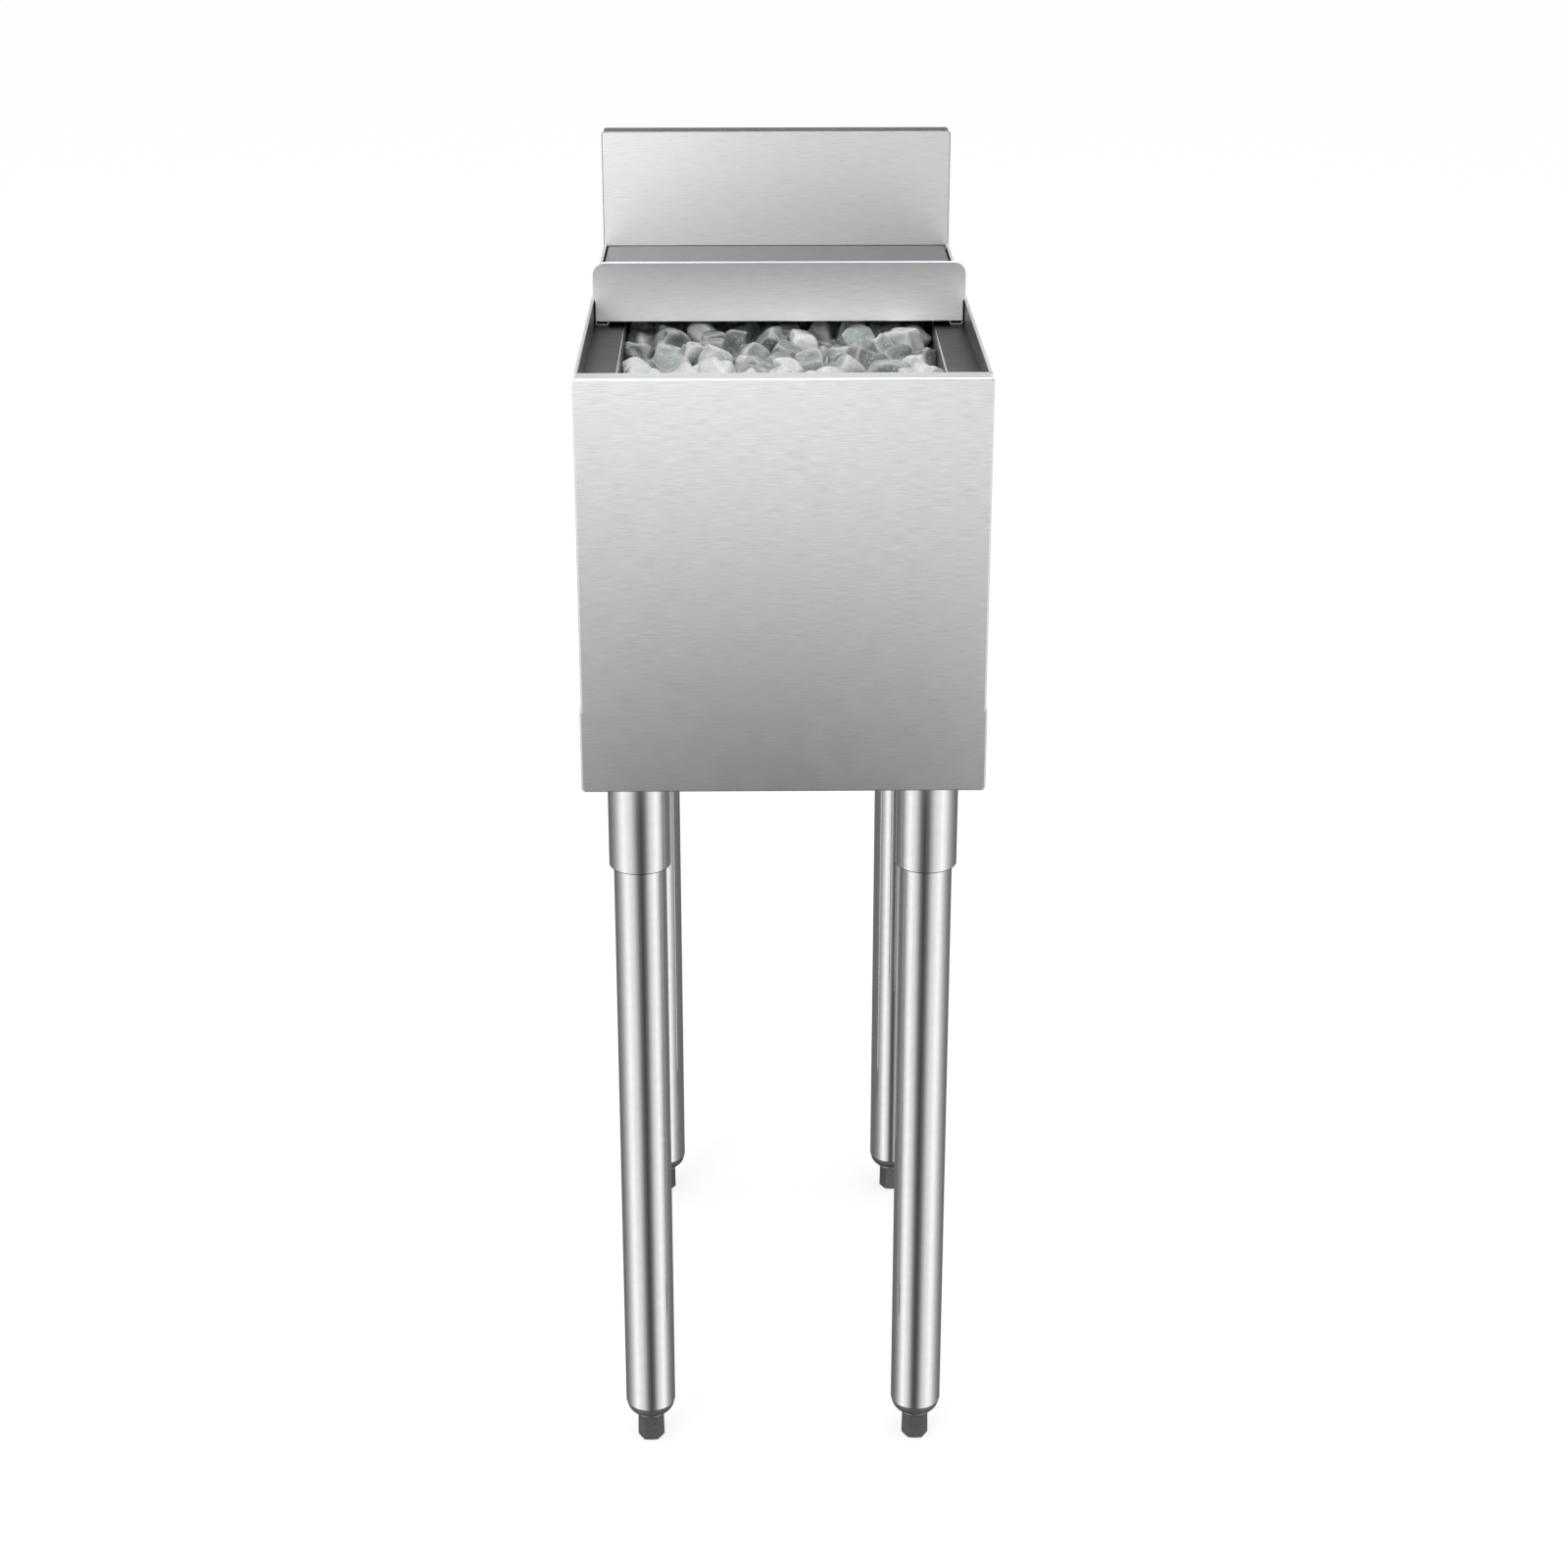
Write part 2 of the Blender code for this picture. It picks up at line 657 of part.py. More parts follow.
LID_HALF_WIDTH = HEM_INSIDE - LID_SIDE_GAP
LID_SET_BACK = SPLASH_FACE - LID_BACK_GAP - LID_LENGTH
LID_TOP = LEDGE_DROP - LID_SINK
LID = empty("lid_slide", (0, LID_SET_BACK, LEDGE), BODY)


def make_lid_panel():
    """The lid: a sheet with its sides folded down into U rails, and its front and back edges turned down."""
    inner = LID_HALF_WIDTH - RAIL_WIDTH
    flange = inner - LID_FLANGE_INSET
    right = fillet(
        (
            (flange, LID_TOP),
            (LID_HALF_WIDTH, LID_TOP),
            (LID_HALF_WIDTH, SEAM),
            (inner, SEAM),
            (inner, SEAM + RAIL_UPTURN),
        ),
        BEND,
    )
    left = [Vector((-x, z)) for x, z in reversed(right)]
    profile = left + right
    front = HANDLE_THICKNESS + SEAM
    bm = bmesh.new()
    grid = strips(bm, [[(x, y, z) for x, z in profile] for y in (front, LID_LENGTH)])
    middle = len(left) - 1
    for row in grid:
        edge = bm.edges.get((row[middle], row[middle + 1]))
        extend(bm, [edge], [Vector((0, 0, -LID_FLANGE))])
    face_outwards(bm, (0, LID_LENGTH / 2, LID_TOP / 2))
    made = piece("lid_panel", bm, BRUSHED, LID)
    thicken(made, SHEET)


def make_lid_handle():
    """The upright plate across the lid's front: a double fold of sheet with round upper corners."""
    above = HEM_INSIDE + HANDLE_OVERHANG
    notch = LEDGE_DROP + HANDLE_NOTCH
    top = LEDGE_DROP + HANDLE_RISE
    foot = LEDGE_DROP - HANDLE_BELOW
    right = [Vector((LID_HALF_WIDTH, foot)), Vector((LID_HALF_WIDTH, notch))]
    right += fillet(((above, notch), (above, top), (0, top)), HANDLE_CORNER, CORNER_STEPS)[:-1]
    left = [Vector((-x, z)) for x, z in reversed(right)]
    bm = bmesh.new()
    face = bm.faces.new([bm.verts.new((x, 0, z)) for x, z in right + left])
    grown = bmesh.ops.extrude_face_region(bm, geom=[face])["geom"]
    moved = [item for item in grown if isinstance(item, bmesh.types.BMVert)]
    bmesh.ops.translate(bm, verts=moved, vec=(0, HANDLE_THICKNESS, 0))
    bmesh.ops.recalc_face_normals(bm, faces=bm.faces)
    made = piece("lid_handle", bm, BRUSHED, LID)
    edge = made.modifiers.new("eased edges", "BEVEL")
    edge.width = HANDLE_EDGE
    edge.segments = EDGE_STEPS
    edge.limit_method = "ANGLE"
    edge.angle_limit = BEND_ANGLE


PLATE_TOP = PAN_TOP - SHEET - SEAM - CHANNEL_SHEET - SEAM
PLATE_FOOT = PLATE_TOP - PLATE_THICKNESS


def make_leg(corner, x, y):
    """One leg: socket, tube, insert and foot, with the bolts and the set screw of the socket."""
    leg = empty(f"leg_{corner}", (x, y, 0), BODY)
    side = 1 if x > 0 else -1
    facing = 1 if y < BODY_DEPTH / 2 else -1

    bore = LEG_RADIUS + SEAM
    socket = turned(
        f"leg_socket_{corner}",
        (
            (0, PLATE_FOOT),
            (bore, PLATE_FOOT),
            (bore, -SOCKET_DROP),
            (SOCKET_RADIUS - SOCKET_EDGE, -SOCKET_DROP),
            (SOCKET_RADIUS, -SOCKET_DROP + SOCKET_EDGE),
            (SOCKET_RADIUS, PLATE_FOOT + PLATE_THICKNESS / 2),
            (0, PLATE_FOOT + PLATE_THICKNESS / 2),
        ),
        POLISHED, leg,
    )
    half = PLATE_SIZE / 2
    plate = block(f"plate_{corner}", (-half, -half, PLATE_FOOT), (half, half, PLATE_TOP), POLISHED, leg)
    combine(socket, plate, "UNION")
    reach = half - BOLT_INSET
    for number, end in enumerate((-1, 1)):
        spot = (side * end * reach, end * reach, 0)
        hole = drill(f"plate_hole_{corner}_{number}", BOLT_RADIUS + SEAM, PLATE_FOOT, PLATE_TOP, spot, leg)
        combine(socket, hole, "DIFFERENCE")
        head_top = PLATE_FOOT - SEAM
        bolt = turned(
            f"socket_bolt_{corner}_{number + 1}",
            (
                (0, head_top - BOLT_HEAD_HEIGHT),
                (BOLT_HEAD_RADIUS, head_top - BOLT_HEAD_HEIGHT),
                (BOLT_HEAD_RADIUS, head_top),
                (BOLT_RADIUS, head_top),
                (BOLT_RADIUS, PLATE_TOP + CHANNEL_SHEET + SEAM),
                (0, PLATE_TOP + CHANNEL_SHEET + SEAM),
            ),
            ZINC, leg, spot, HEX_SIDES,
        )
        bolt.data.shade_flat()

    screw_hole = drill(
        f"screw_hole_{corner}", SET_SCREW_RADIUS + SEAM, LEG_RADIUS - LEG_WALL, SOCKET_RADIUS,
        (0, 0, -SET_SCREW_DROP), leg, SCREW_HOLE_SIDES,
    )
    screw_hole.rotation_euler = (-facing * pi / 2, 0, 0)
    combine(socket, screw_hole, "DIFFERENCE")
    head_low = SOCKET_RADIUS + SET_SCREW_STAND
    screw = turned(
        f"set_screw_{corner}",
        (
            (0, LEG_RADIUS + SEAM),
            (SET_SCREW_RADIUS, LEG_RADIUS + SEAM),
            (SET_SCREW_RADIUS, head_low),
            (SET_SCREW_HEAD_RADIUS, head_low),
            (SET_SCREW_HEAD_RADIUS, head_low + SET_SCREW_HEAD_HEIGHT),
            (0, head_low + SET_SCREW_HEAD_HEIGHT),
        ),
        ZINC, leg, (0, 0, -SET_SCREW_DROP), HEX_SIDES,
    )
    screw.data.shade_flat()
    screw.rotation_euler = (-facing * pi / 2, 0, 0)

    inner = LEG_RADIUS - LEG_WALL
    turned(
        f"leg_tube_{corner}",
        (
            (inner, PLATE_FOOT - SEAM),
            (inner, -LEG_DROP),
            (LEG_RADIUS - LEG_EDGE, -LEG_DROP),
            (LEG_RADIUS, -LEG_DROP + LEG_EDGE),
            (LEG_RADIUS, PLATE_FOOT - SEAM),
        ),
        POLISHED, leg,
    )

    stem_bore = STEM_RADIUS + SEAM
    shoulder = -LEG_DROP - SEAM
    mouth = -LEG_DROP - INSERT_NOSE
    waist = INSERT_MOUTH_RADIUS + (INSERT_TOP_RADIUS - INSERT_MOUTH_RADIUS) * INSERT_WAIST_SHARE
    turned(
        f"leg_insert_{corner}",
        (
            (stem_bore, -LEG_DROP + INSERT_PLUG),
            (inner - SEAM, -LEG_DROP + INSERT_PLUG),
            (inner - SEAM, shoulder),
            (INSERT_TOP_RADIUS, shoulder),
            (waist, shoulder - INSERT_NOSE * INSERT_WAIST_DROP_SHARE),
            (INSERT_MOUTH_RADIUS, mouth + INSERT_LIP),
            (INSERT_MOUTH_RADIUS, mouth),
            (stem_bore, mouth),
        ),
        DARK, leg,
    )

    foot_top = mouth - SEAM
    foot = empty(f"foot_axis_{corner}", (0, 0, -LEG_CLEARANCE), leg)
    stand = LEG_CLEARANCE + foot_top
    stem_top = stand + STEM_LENGTH
    hexagon = turned(
        f"foot_{corner}",
        (
            (0, 0),
            (FOOT_CORNER_RADIUS - FOOT_CHAMFER, 0),
            (FOOT_CORNER_RADIUS, FOOT_CHAMFER),
            (FOOT_CORNER_RADIUS, stand),
            (0, stand),
        ),
        DARK, foot, sides=HEX_SIDES,
    )
    hexagon.data.shade_flat()
    stem = turned(
        f"stem_{corner}",
        ((0, stand / 2), (STEM_RADIUS, stand / 2), (STEM_RADIUS, stem_top), (0, stem_top)),
        DARK, foot, sides=STEM_SIDES,
    )
    combine(hexagon, stem, "UNION")


make_front_panel()
make_side_panel("side_panel_left", -1)
make_side_panel("side_panel_right", 1)
make_back_panel()
make_base_band("base_band_left", -1)
make_base_band("base_band_right", 1)
make_bottom_pan()
make_channel("leg_channel_front", FRONT_LEG_Y)
make_channel("leg_channel_back", BACK_LEG_Y)
make_liner()
make_insulation()
make_drain()
make_backsplash()
make_lid_panel()
make_lid_handle()
for end, leg_y in (("front", FRONT_LEG_Y), ("back", BACK_LEG_Y)):
    for hand, side in (("left", -1), ("right", 1)):
        make_leg(f"{end}_{hand}", side * LEG_HALF_SPACING, leg_y)
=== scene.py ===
"""Underbar ice bin: the finishes and fine shapes of a narrow stainless steel bin full of ice."""
import json
from math import cos, pi, radians, sin, tan

import bmesh
import bpy
import numpy as np
from mathutils import Matrix, Vector


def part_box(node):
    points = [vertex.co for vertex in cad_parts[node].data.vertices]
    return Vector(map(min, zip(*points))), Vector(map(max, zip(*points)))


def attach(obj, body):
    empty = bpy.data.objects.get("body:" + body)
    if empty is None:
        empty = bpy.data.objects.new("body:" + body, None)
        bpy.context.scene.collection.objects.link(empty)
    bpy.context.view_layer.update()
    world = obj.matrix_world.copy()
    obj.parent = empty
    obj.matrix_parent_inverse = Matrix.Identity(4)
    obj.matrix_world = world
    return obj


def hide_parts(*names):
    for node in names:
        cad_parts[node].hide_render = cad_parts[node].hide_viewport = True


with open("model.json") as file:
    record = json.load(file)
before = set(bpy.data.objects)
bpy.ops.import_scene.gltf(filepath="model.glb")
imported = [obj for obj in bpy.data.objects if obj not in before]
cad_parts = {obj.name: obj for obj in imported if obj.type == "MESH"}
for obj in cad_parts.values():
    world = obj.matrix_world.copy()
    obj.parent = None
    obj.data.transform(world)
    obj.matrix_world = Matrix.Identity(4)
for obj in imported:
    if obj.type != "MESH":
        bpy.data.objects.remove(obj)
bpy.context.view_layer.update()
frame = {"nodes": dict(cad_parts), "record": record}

# The camera stands in front of the bin, a little to its left and above it, and looks down at the front panel
# and into the well.
CAMERA_PLACE = (-0.026, -2.285, 1.409)
CAMERA_PITCH = 0.3761
CAMERA_YAW = -0.0130
FRAME_WIDTH = 36
FOCAL_LENGTH = 65.6

camera = bpy.data.objects.new("camera", bpy.data.cameras.new("camera"))
camera.data.sensor_width = FRAME_WIDTH
camera.data.lens = FOCAL_LENGTH
camera.location = CAMERA_PLACE
camera.rotation_euler = (pi / 2 - CAMERA_PITCH, 0, CAMERA_YAW)
bpy.context.scene.collection.objects.link(camera)
bpy.context.scene.camera = camera
bpy.context.scene.view_settings.view_transform = "Standard"

# The studio: a white room seen by the camera and by metal and ice, with softer white light on dull surfaces,
# a wide lamp overhead and a smaller one at the left.
ROOM_LIGHT = 0.62
LAMPS = (
    ("overhead_lamp", (0.0, -0.5, 3.1), (0, -0.05, 0.8), 2.2, 26),
    ("left_lamp", (-1.9, -2.4, 2.3), (0, 0, 0.7), 1.1, 14),
)
WHITE = (1, 1, 1, 1)


def node(tree, kind, *values, **settings):
    """Add a shader node. The values fill its inputs in order: a socket is linked, a number is set."""
    made = tree.nodes.new("ShaderNode" + kind)
    for key, value in settings.items():
        setattr(made, key, value)
    for socket, value in zip(made.inputs, values):
        if isinstance(value, bpy.types.NodeSocket):
            tree.links.new(value, socket)
        elif value is not None:
            socket.default_value = value
    return made


def maths(tree, operation, *values):
    """The output of a maths node."""
    return node(tree, "Math", *values, operation=operation).outputs[0]


def seen_by_gloss(tree):
    """1 for the rays of the camera, of gloss and of glass, and 0 for the light on dull surfaces."""
    path = node(tree, "LightPath").outputs
    either = maths(tree, "MAXIMUM", path["Is Camera Ray"], path["Is Glossy Ray"])
    return maths(tree, "MAXIMUM", either, path["Is Transmission Ray"])


world = bpy.data.worlds.new("white_room")
world.use_nodes = True
bpy.context.scene.world = world
room = world.node_tree
room.nodes.clear()
soft = node(room, "Background", WHITE, ROOM_LIGHT).outputs[0]
white = node(room, "Background", WHITE, 1.0).outputs[0]
shown = node(room, "MixShader", seen_by_gloss(room), soft, white).outputs[0]
node(room, "OutputWorld", shown)

for name, place, target, size, power in LAMPS:
    lamp = bpy.data.objects.new(name, bpy.data.lights.new(name, "AREA"))
    lamp.data.shape = "SQUARE"
    lamp.data.size = size
    lamp.data.energy = power
    lamp.location = place
    lamp.rotation_euler = (Vector(place) - Vector(target)).to_track_quat("Z", "Y").to_euler()
    bpy.context.scene.collection.objects.link(lamp)

# The floor: a wide sheet, pale and matt. A glow of its own, which lights nothing, brings it up to white for
# the camera where no shadow falls, and the bin's soft shadow stays.
FLOOR_SIZE = 60
FLOOR_COLOUR = (0.45, 0.45, 0.45, 1)
FLOOR_GLOW = 0.71


def plain_material(name):
    """An empty material and its node tree."""
    made = bpy.data.materials.new(name)
    made.use_nodes = True
    made.node_tree.nodes.clear()
    return made, made.node_tree


def link_mesh(name, bm, material):
    """Turn a bmesh into an object with one material."""
    mesh = bpy.data.meshes.new(name)
    bm.to_mesh(mesh)
    bm.free()
    mesh.materials.append(material)
    made = bpy.data.objects.new(name, mesh)
    bpy.context.scene.collection.objects.link(made)
    return made


floor_paint, tree = plain_material("floor_paint")
matt = node(tree, "BsdfDiffuse", FLOOR_COLOUR).outputs[0]
glow = node(tree, "Emission", WHITE, maths(tree, "MULTIPLY", seen_by_gloss(tree), FLOOR_GLOW)).outputs[0]
node(tree, "OutputMaterial", node(tree, "AddShader", matt, glow).outputs[0])
bm = bmesh.new()
bmesh.ops.create_grid(bm, x_segments=1, y_segments=1, size=FLOOR_SIZE / 2)
floor = link_mesh("floor", bm, floor_paint)
floor.visible_glossy = False

# The light tent: a round screen of cloth that only shiny surfaces see. Low down it is dark in front, bright
# towards both sides and dim behind, which draws the dark lines on the legs. It grows brighter with height,
# which puts the fade on the panels.
TENT_RADIUS = 1.05
TENT_FOOT = -1.4
TENT_TOP = 1.7
TENT_SIDES = 96
LOW_CLOTH_BY_ANGLE = (
    (0, 0.055), (11, 0.15), (21, 0.44), (28, 0.66), (40, 0.84), (52, 1.02), (65, 0.80), (75, 0.54),
    (92, 0.30), (110, 0.19), (125, 0.15), (180, 0.14),
)
FADE_FOOT = 0.25
FADE_TOP = 0.80
FADE_POWER = 1.20
FRONT_LIGHT = 1.22
FRONT_EDGE_LIGHT = 1.02
FRONT_REACH = 0.32
TOP_CLOTH_BY_PLACE = ((-0.48, 1.00), (-0.29, 1.66), (0.46, 0.10), (0.68, 0.62))
TOP_CLOTH_FOOT = 0.80
TOP_CLOTH_HEAD = 0.93
BEHIND_LIGHT = 0.80
BEHIND_HEAD = 1.0


def mix_colour(tree, share, low, high):
    """A colour between two, which are the Mix node's inputs 6 and 7."""
    return node(tree, "Mix", share, None, None, None, None, None, low, high, data_type="RGBA").outputs[2]


def mix_value(tree, share, low, high):
    """A value between two."""
    return node(tree, "Mix", share, None, low, high, data_type="FLOAT").outputs[0]


def spread(tree, value, start, end, at_start=0.0, at_end=1.0, **settings):
    """Run from one number to another while a value runs from start to end, and stay there beyond."""
    return node(tree, "MapRange", value, start, end, at_start, at_end, **settings).outputs[0]


def lights_along(tree, place, stops):
    """A light that changes along the cloth, from stops of place and strength."""
    ramp = node(tree, "ValToRGB", place)
    elements = ramp.color_ramp.elements
    for position, _ in stops[1:-1]:
        elements.new(position)
    for element, (position, light) in zip(elements, stops):
        element.position = position
        element.color = (light, light, light, 1)
    return ramp.outputs[0]


cloth, tree = plain_material("tent_cloth")
x, y, z = node(tree, "SeparateXYZ", node(tree, "TexCoord").outputs["Object"]).outputs
turn = maths(tree, "ARCTAN2", x, maths(tree, "MULTIPLY", y, -1.0))
half_turn_share = maths(tree, "DIVIDE", maths(tree, "ABSOLUTE", turn), pi)
low_light = lights_along(tree, half_turn_share, [(angle / 180, light) for angle, light in LOW_CLOTH_BY_ANGLE])

width_share = spread(tree, x, -TENT_RADIUS, TENT_RADIUS)
stops = [((place / TENT_RADIUS + 1) / 2, light) for place, light in TOP_CLOTH_BY_PLACE]
top_light = lights_along(tree, width_share, stops)
front_light = spread(tree, maths(tree, "ABSOLUTE", x), 0.0, FRONT_REACH, FRONT_LIGHT, FRONT_EDGE_LIGHT)
near_top = spread(tree, z, TOP_CLOTH_FOOT, TOP_CLOTH_HEAD, interpolation_type="SMOOTHSTEP")
front_light = mix_value(tree, near_top, front_light, top_light)
back_light = mix_value(tree, spread(tree, z, FADE_TOP, BEHIND_HEAD), 1.0, BEHIND_LIGHT)
high_light = mix_value(tree, maths(tree, "GREATER_THAN", y, 0.0), front_light, back_light)
rise = maths(tree, "POWER", spread(tree, z, FADE_FOOT, FADE_TOP), FADE_POWER)
light = mix_colour(tree, rise, low_light, high_light)
node(tree, "OutputMaterial", node(tree, "Emission", light, 1.0).outputs[0])
bm = bmesh.new()
bmesh.ops.create_cone(
    bm, segments=TENT_SIDES, radius1=TENT_RADIUS, radius2=TENT_RADIUS, depth=TENT_TOP - TENT_FOOT,
    matrix=Matrix.Translation((0, 0, (TENT_TOP + TENT_FOOT) / 2)),
)
tent = link_mesh("light_tent", bm, cloth)

# The dark flags: the tent's floor, and a bar of dark cloth behind the bin that the top of the backsplash
# reflects.
DARK_CLOTH = 0.10
FLAG_PLACE = 0.98
FLAG_REACH = 0.7
FLAG_FOOT = 1.085
FLAG_TOP = 1.19

dark_cloth, tree = plain_material("dark_cloth")
node(tree, "OutputMaterial", node(tree, "Emission", WHITE, DARK_CLOTH).outputs[0])
bm = bmesh.new()
bmesh.ops.create_circle(
    bm, cap_ends=True, segments=TENT_SIDES, radius=TENT_RADIUS, matrix=Matrix.Translation((0, 0, TENT_FOOT)),
)
flag = ((-FLAG_REACH, FLAG_FOOT), (FLAG_REACH, FLAG_FOOT), (FLAG_REACH, FLAG_TOP), (-FLAG_REACH, FLAG_TOP))
bm.faces.new([bm.verts.new((x, FLAG_PLACE, z)) for x, z in flag])
flags = link_mesh("dark_flags", bm, dark_cloth)
for screen in (tent, flags):
    screen.visible_camera = False
    screen.visible_diffuse = False
    screen.visible_shadow = False

# The steel of the base: a floor pan with its edges turned down and a hole for the drain, and two cross
# channels under it, pressed from zinc-plated sheet. The pan keeps its solid.
CHANNEL_SHEET = 0.0015
CHANNEL_BEND = 0.002
BEND_STEPS = 8
SMOOTH_ANGLE = radians(38)
FOLD_ANGLE = radians(60)
SAME_POINT = 0.00003
ZINC_LIGHT = (0.66, 0.67, 0.69, 1)
ZINC_DARK = (0.50, 0.51, 0.53, 1)
ZINC_DULL = 0.48
ZINC_GLOSSY = 0.34
ZINC_RELIEF = 0.00003
SPANGLE_SIZE = 0.009
SPANGLE_CLOUD_SHARE = 0.45

BODY_OF_NODE = {}
for body, members in frame["record"]["behaviour"]["bodies"].items():
    for member in members:
        BODY_OF_NODE[member] = body


def stand_for(piece, node_name):
    """The piece takes a solid's place: it rides the same body and shows instead of it."""
    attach(piece, BODY_OF_NODE[node_name])
    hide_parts(node_name)


def feed(tree, made, **values):
    """Link or set a node's inputs by their names, with underscores for spaces."""
    for key, value in values.items():
        socket = made.inputs[key.replace("_", " ")]
        if isinstance(value, bpy.types.NodeSocket):
            tree.links.new(value, socket)
        else:
            socket.default_value = value
    return made


def surface(tree, **values):
    """A Principled shader on the material's output."""
    shader = feed(tree, node(tree, "BsdfPrincipled"), **values)
    node(tree, "OutputMaterial", shader.outputs[0])
    return shader


def relief(tree, height, depth):
    """The normal of a height that runs from 0 to 1 over a depth in metres."""
    return feed(tree, node(tree, "Bump"), Height=height, Distance=depth).outputs[0]


def own_place(tree):
    """A point's place in the bin's own metres, which rides with its piece."""
    return node(tree, "TexCoord").outputs["Object"]


def in_sizes(tree, place, size):
    """A place counted in a size, so that a texture's cells come out at that size."""
    scaled = node(tree, "VectorMath", place, operation="SCALE")
    return feed(tree, scaled, Scale=maths(tree, "DIVIDE", 1.0, size)).outputs[0]


def new_group(name, inputs, outputs):
    """A shader node group of plain numbers: its inputs have defaults, its outputs only names."""
    group = bpy.data.node_groups.new(name, "ShaderNodeTree")
    for label, value in inputs:
        group.interface.new_socket(label, in_out="INPUT", socket_type="NodeSocketFloat").default_value = value
    for label in outputs:
        group.interface.new_socket(label, in_out="OUTPUT", socket_type="NodeSocketFloat")
    return group, group.nodes.new("NodeGroupInput").outputs, group.nodes.new("NodeGroupOutput").inputs


def strips(bm, rows):
    """Faces between rows of points. Returns the rows of vertices."""
    grid = [[bm.verts.new(point) for point in row] for row in rows]
    for near, far in zip(grid, grid[1:]):
        for index in range(len(near) - 1):
            bm.faces.new((near[index], near[index + 1], far[index + 1], far[index]))
    return grid


def rounded(points, radius, steps=BEND_STEPS):
    """An open outline whose inner corners are bent to a radius."""
    outline = [Vector(points[0])]
    for before, corner, after in zip(points, points[1:], points[2:]):
        corner = Vector(corner)
        back = (Vector(before) - corner).normalized()
        ahead = (Vector(after) - corner).normalized()
        half = back.angle(ahead) / 2
        centre = corner + (back + ahead).normalized() * (radius / sin(half))
        start = corner + back * (radius / tan(half)) - centre
        swing = (pi - 2 * half) * (1 if back.cross(ahead) < 0 else -1)
        for step in range(steps + 1):
            outline.append(centre + Matrix.Rotation(swing * step / steps, 2) @ start)
    outline.append(Vector(points[-1]))
    return outline


def smooth(piece):
    """Shade bends smoothly and flats flatly."""
    piece.data.shade_smooth()
    piece.data.set_sharp_from_angle(angle=SMOOTH_ANGLE)
    piece.modifiers.new("flat faces", "WEIGHTED_NORMAL").keep_sharp = True
    return piece


def sheet_metal(name, bm, inside, thickness, material, drawn_inside=False):
    """A thin sheet from a bmesh surface, which is its outer face unless it was drawn inside."""
    bmesh.ops.remove_doubles(bm, verts=bm.verts, dist=SAME_POINT)
    bmesh.ops.recalc_face_normals(bm, faces=bm.faces)
    bm.normal_update()
    away = 0
    for face in bm.faces:
        away += (face.calc_center_median() - Vector(inside)).dot(face.normal) * face.calc_area()
    if (away < 0) != drawn_inside:
        bmesh.ops.reverse_faces(bm, faces=bm.faces)
    piece = link_mesh(name, bm, material)
    solid = piece.modifiers.new("thickness", "SOLIDIFY")
    solid.thickness = thickness
    solid.offset = -1
    solid.use_even_offset = True
    solid.use_quality_normals = True
    bpy.context.view_layer.update()
    thick = piece.evaluated_get(bpy.context.evaluated_depsgraph_get())
    piece.data = bpy.data.meshes.new_from_object(thick)
    piece.modifiers.clear()
    return smooth(piece)


spangle, given, result = new_group("zinc_spangle", (("Size", SPANGLE_SIZE),), ("Tone",))
grid_place = in_sizes(spangle, own_place(spangle), given["Size"])
crystal = node(spangle, "TexVoronoi", grid_place, feature="F1")
cloud = node(spangle, "TexNoise", grid_place)
cell_tone = node(spangle, "SeparateColor", crystal.outputs["Color"]).outputs[0]
spangle.links.new(mix_value(spangle, SPANGLE_CLOUD_SHARE, cell_tone, cloud.outputs[0]), result["Tone"])

zinc, tree = plain_material("zinc_plate")
tone = node(tree, "Group", SPANGLE_SIZE, node_tree=spangle).outputs[0]
surface(
    tree, Base_Color=mix_colour(tree, tone, ZINC_DARK, ZINC_LIGHT), Metallic=1.0,
    Roughness=mix_value(tree, tone, ZINC_DULL, ZINC_GLOSSY), Normal=relief(tree, tone, ZINC_RELIEF),
)

frame["nodes"]["bottom_pan"].data.materials[0] = zinc
for name in ("leg_channel_front", "leg_channel_back"):
    low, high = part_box(name)
    section = rounded(((low.y, low.z), (low.y, high.z), (high.y, high.z), (high.y, low.z)), CHANNEL_BEND)
    bm = bmesh.new()
    strips(bm, [[(x, y, z) for y, z in section] for x in (low.x, high.x)])
    channel = sheet_metal(name + "_pressing", bm, (0, (low.y + high.y) / 2, low.z), CHANNEL_SHEET, zinc)
    stand_for(channel, name)

# The outer panels: brushed stainless sheet about 1 mm thick, with the grain running round the bin. The front
# sheet folds back into the deck and round the sides; the sides fold over at the top into narrow rims.
PANEL_SHEET = 0.001
BAND_SHEET = 0.0008
FRONT_CORNER = 0.0032
FRONT_BEND = 0.0014
RIM_BEND = 0.0012
PANEL_BEND = 0.002
BASE_LIP = 0.015
SEAM = 0.0003
GRAIN_LENGTH = 0.018
GRAIN_WIDTH = 0.0006
GRAIN_WAVER = 0.0040
GRAIN_DEPTH = 0.000008
WAVER_LENGTH = 0.036
WAVER_HEIGHT = 0.014
BROAD_GRAIN_LONGER = 2.6
BROAD_GRAIN_WIDER = 3.2
BROAD_GRAIN_SHARE = 0.06
GRAIN_TONES = (0.38, 0.62)
STREAK_ROUGHNESS = 0.6
GLOSS_SWING = 0.02
HANDLING_SIZE = 0.09
HANDLING_TONES = (0.35, 0.70)
HANDLING_DULLNESS = 0.022
PANEL_FINISH = ((0.77, 0.77, 0.775), (0.91, 0.91, 0.915), 0.30)
# Painted highlight: a near-white steel for the faces of bends and edges that should show a bright line.
EDGE_HIGHLIGHT_FINISH = ((0.88, 0.88, 0.88), (0.98, 0.98, 0.98), 0.20)
# Painted shade: a near-black copy of the steel for the inner faces of the side rims.
FOLD_SHADE_FINISH = ((0.13, 0.125, 0.125), (0.18, 0.175, 0.175), 0.42)
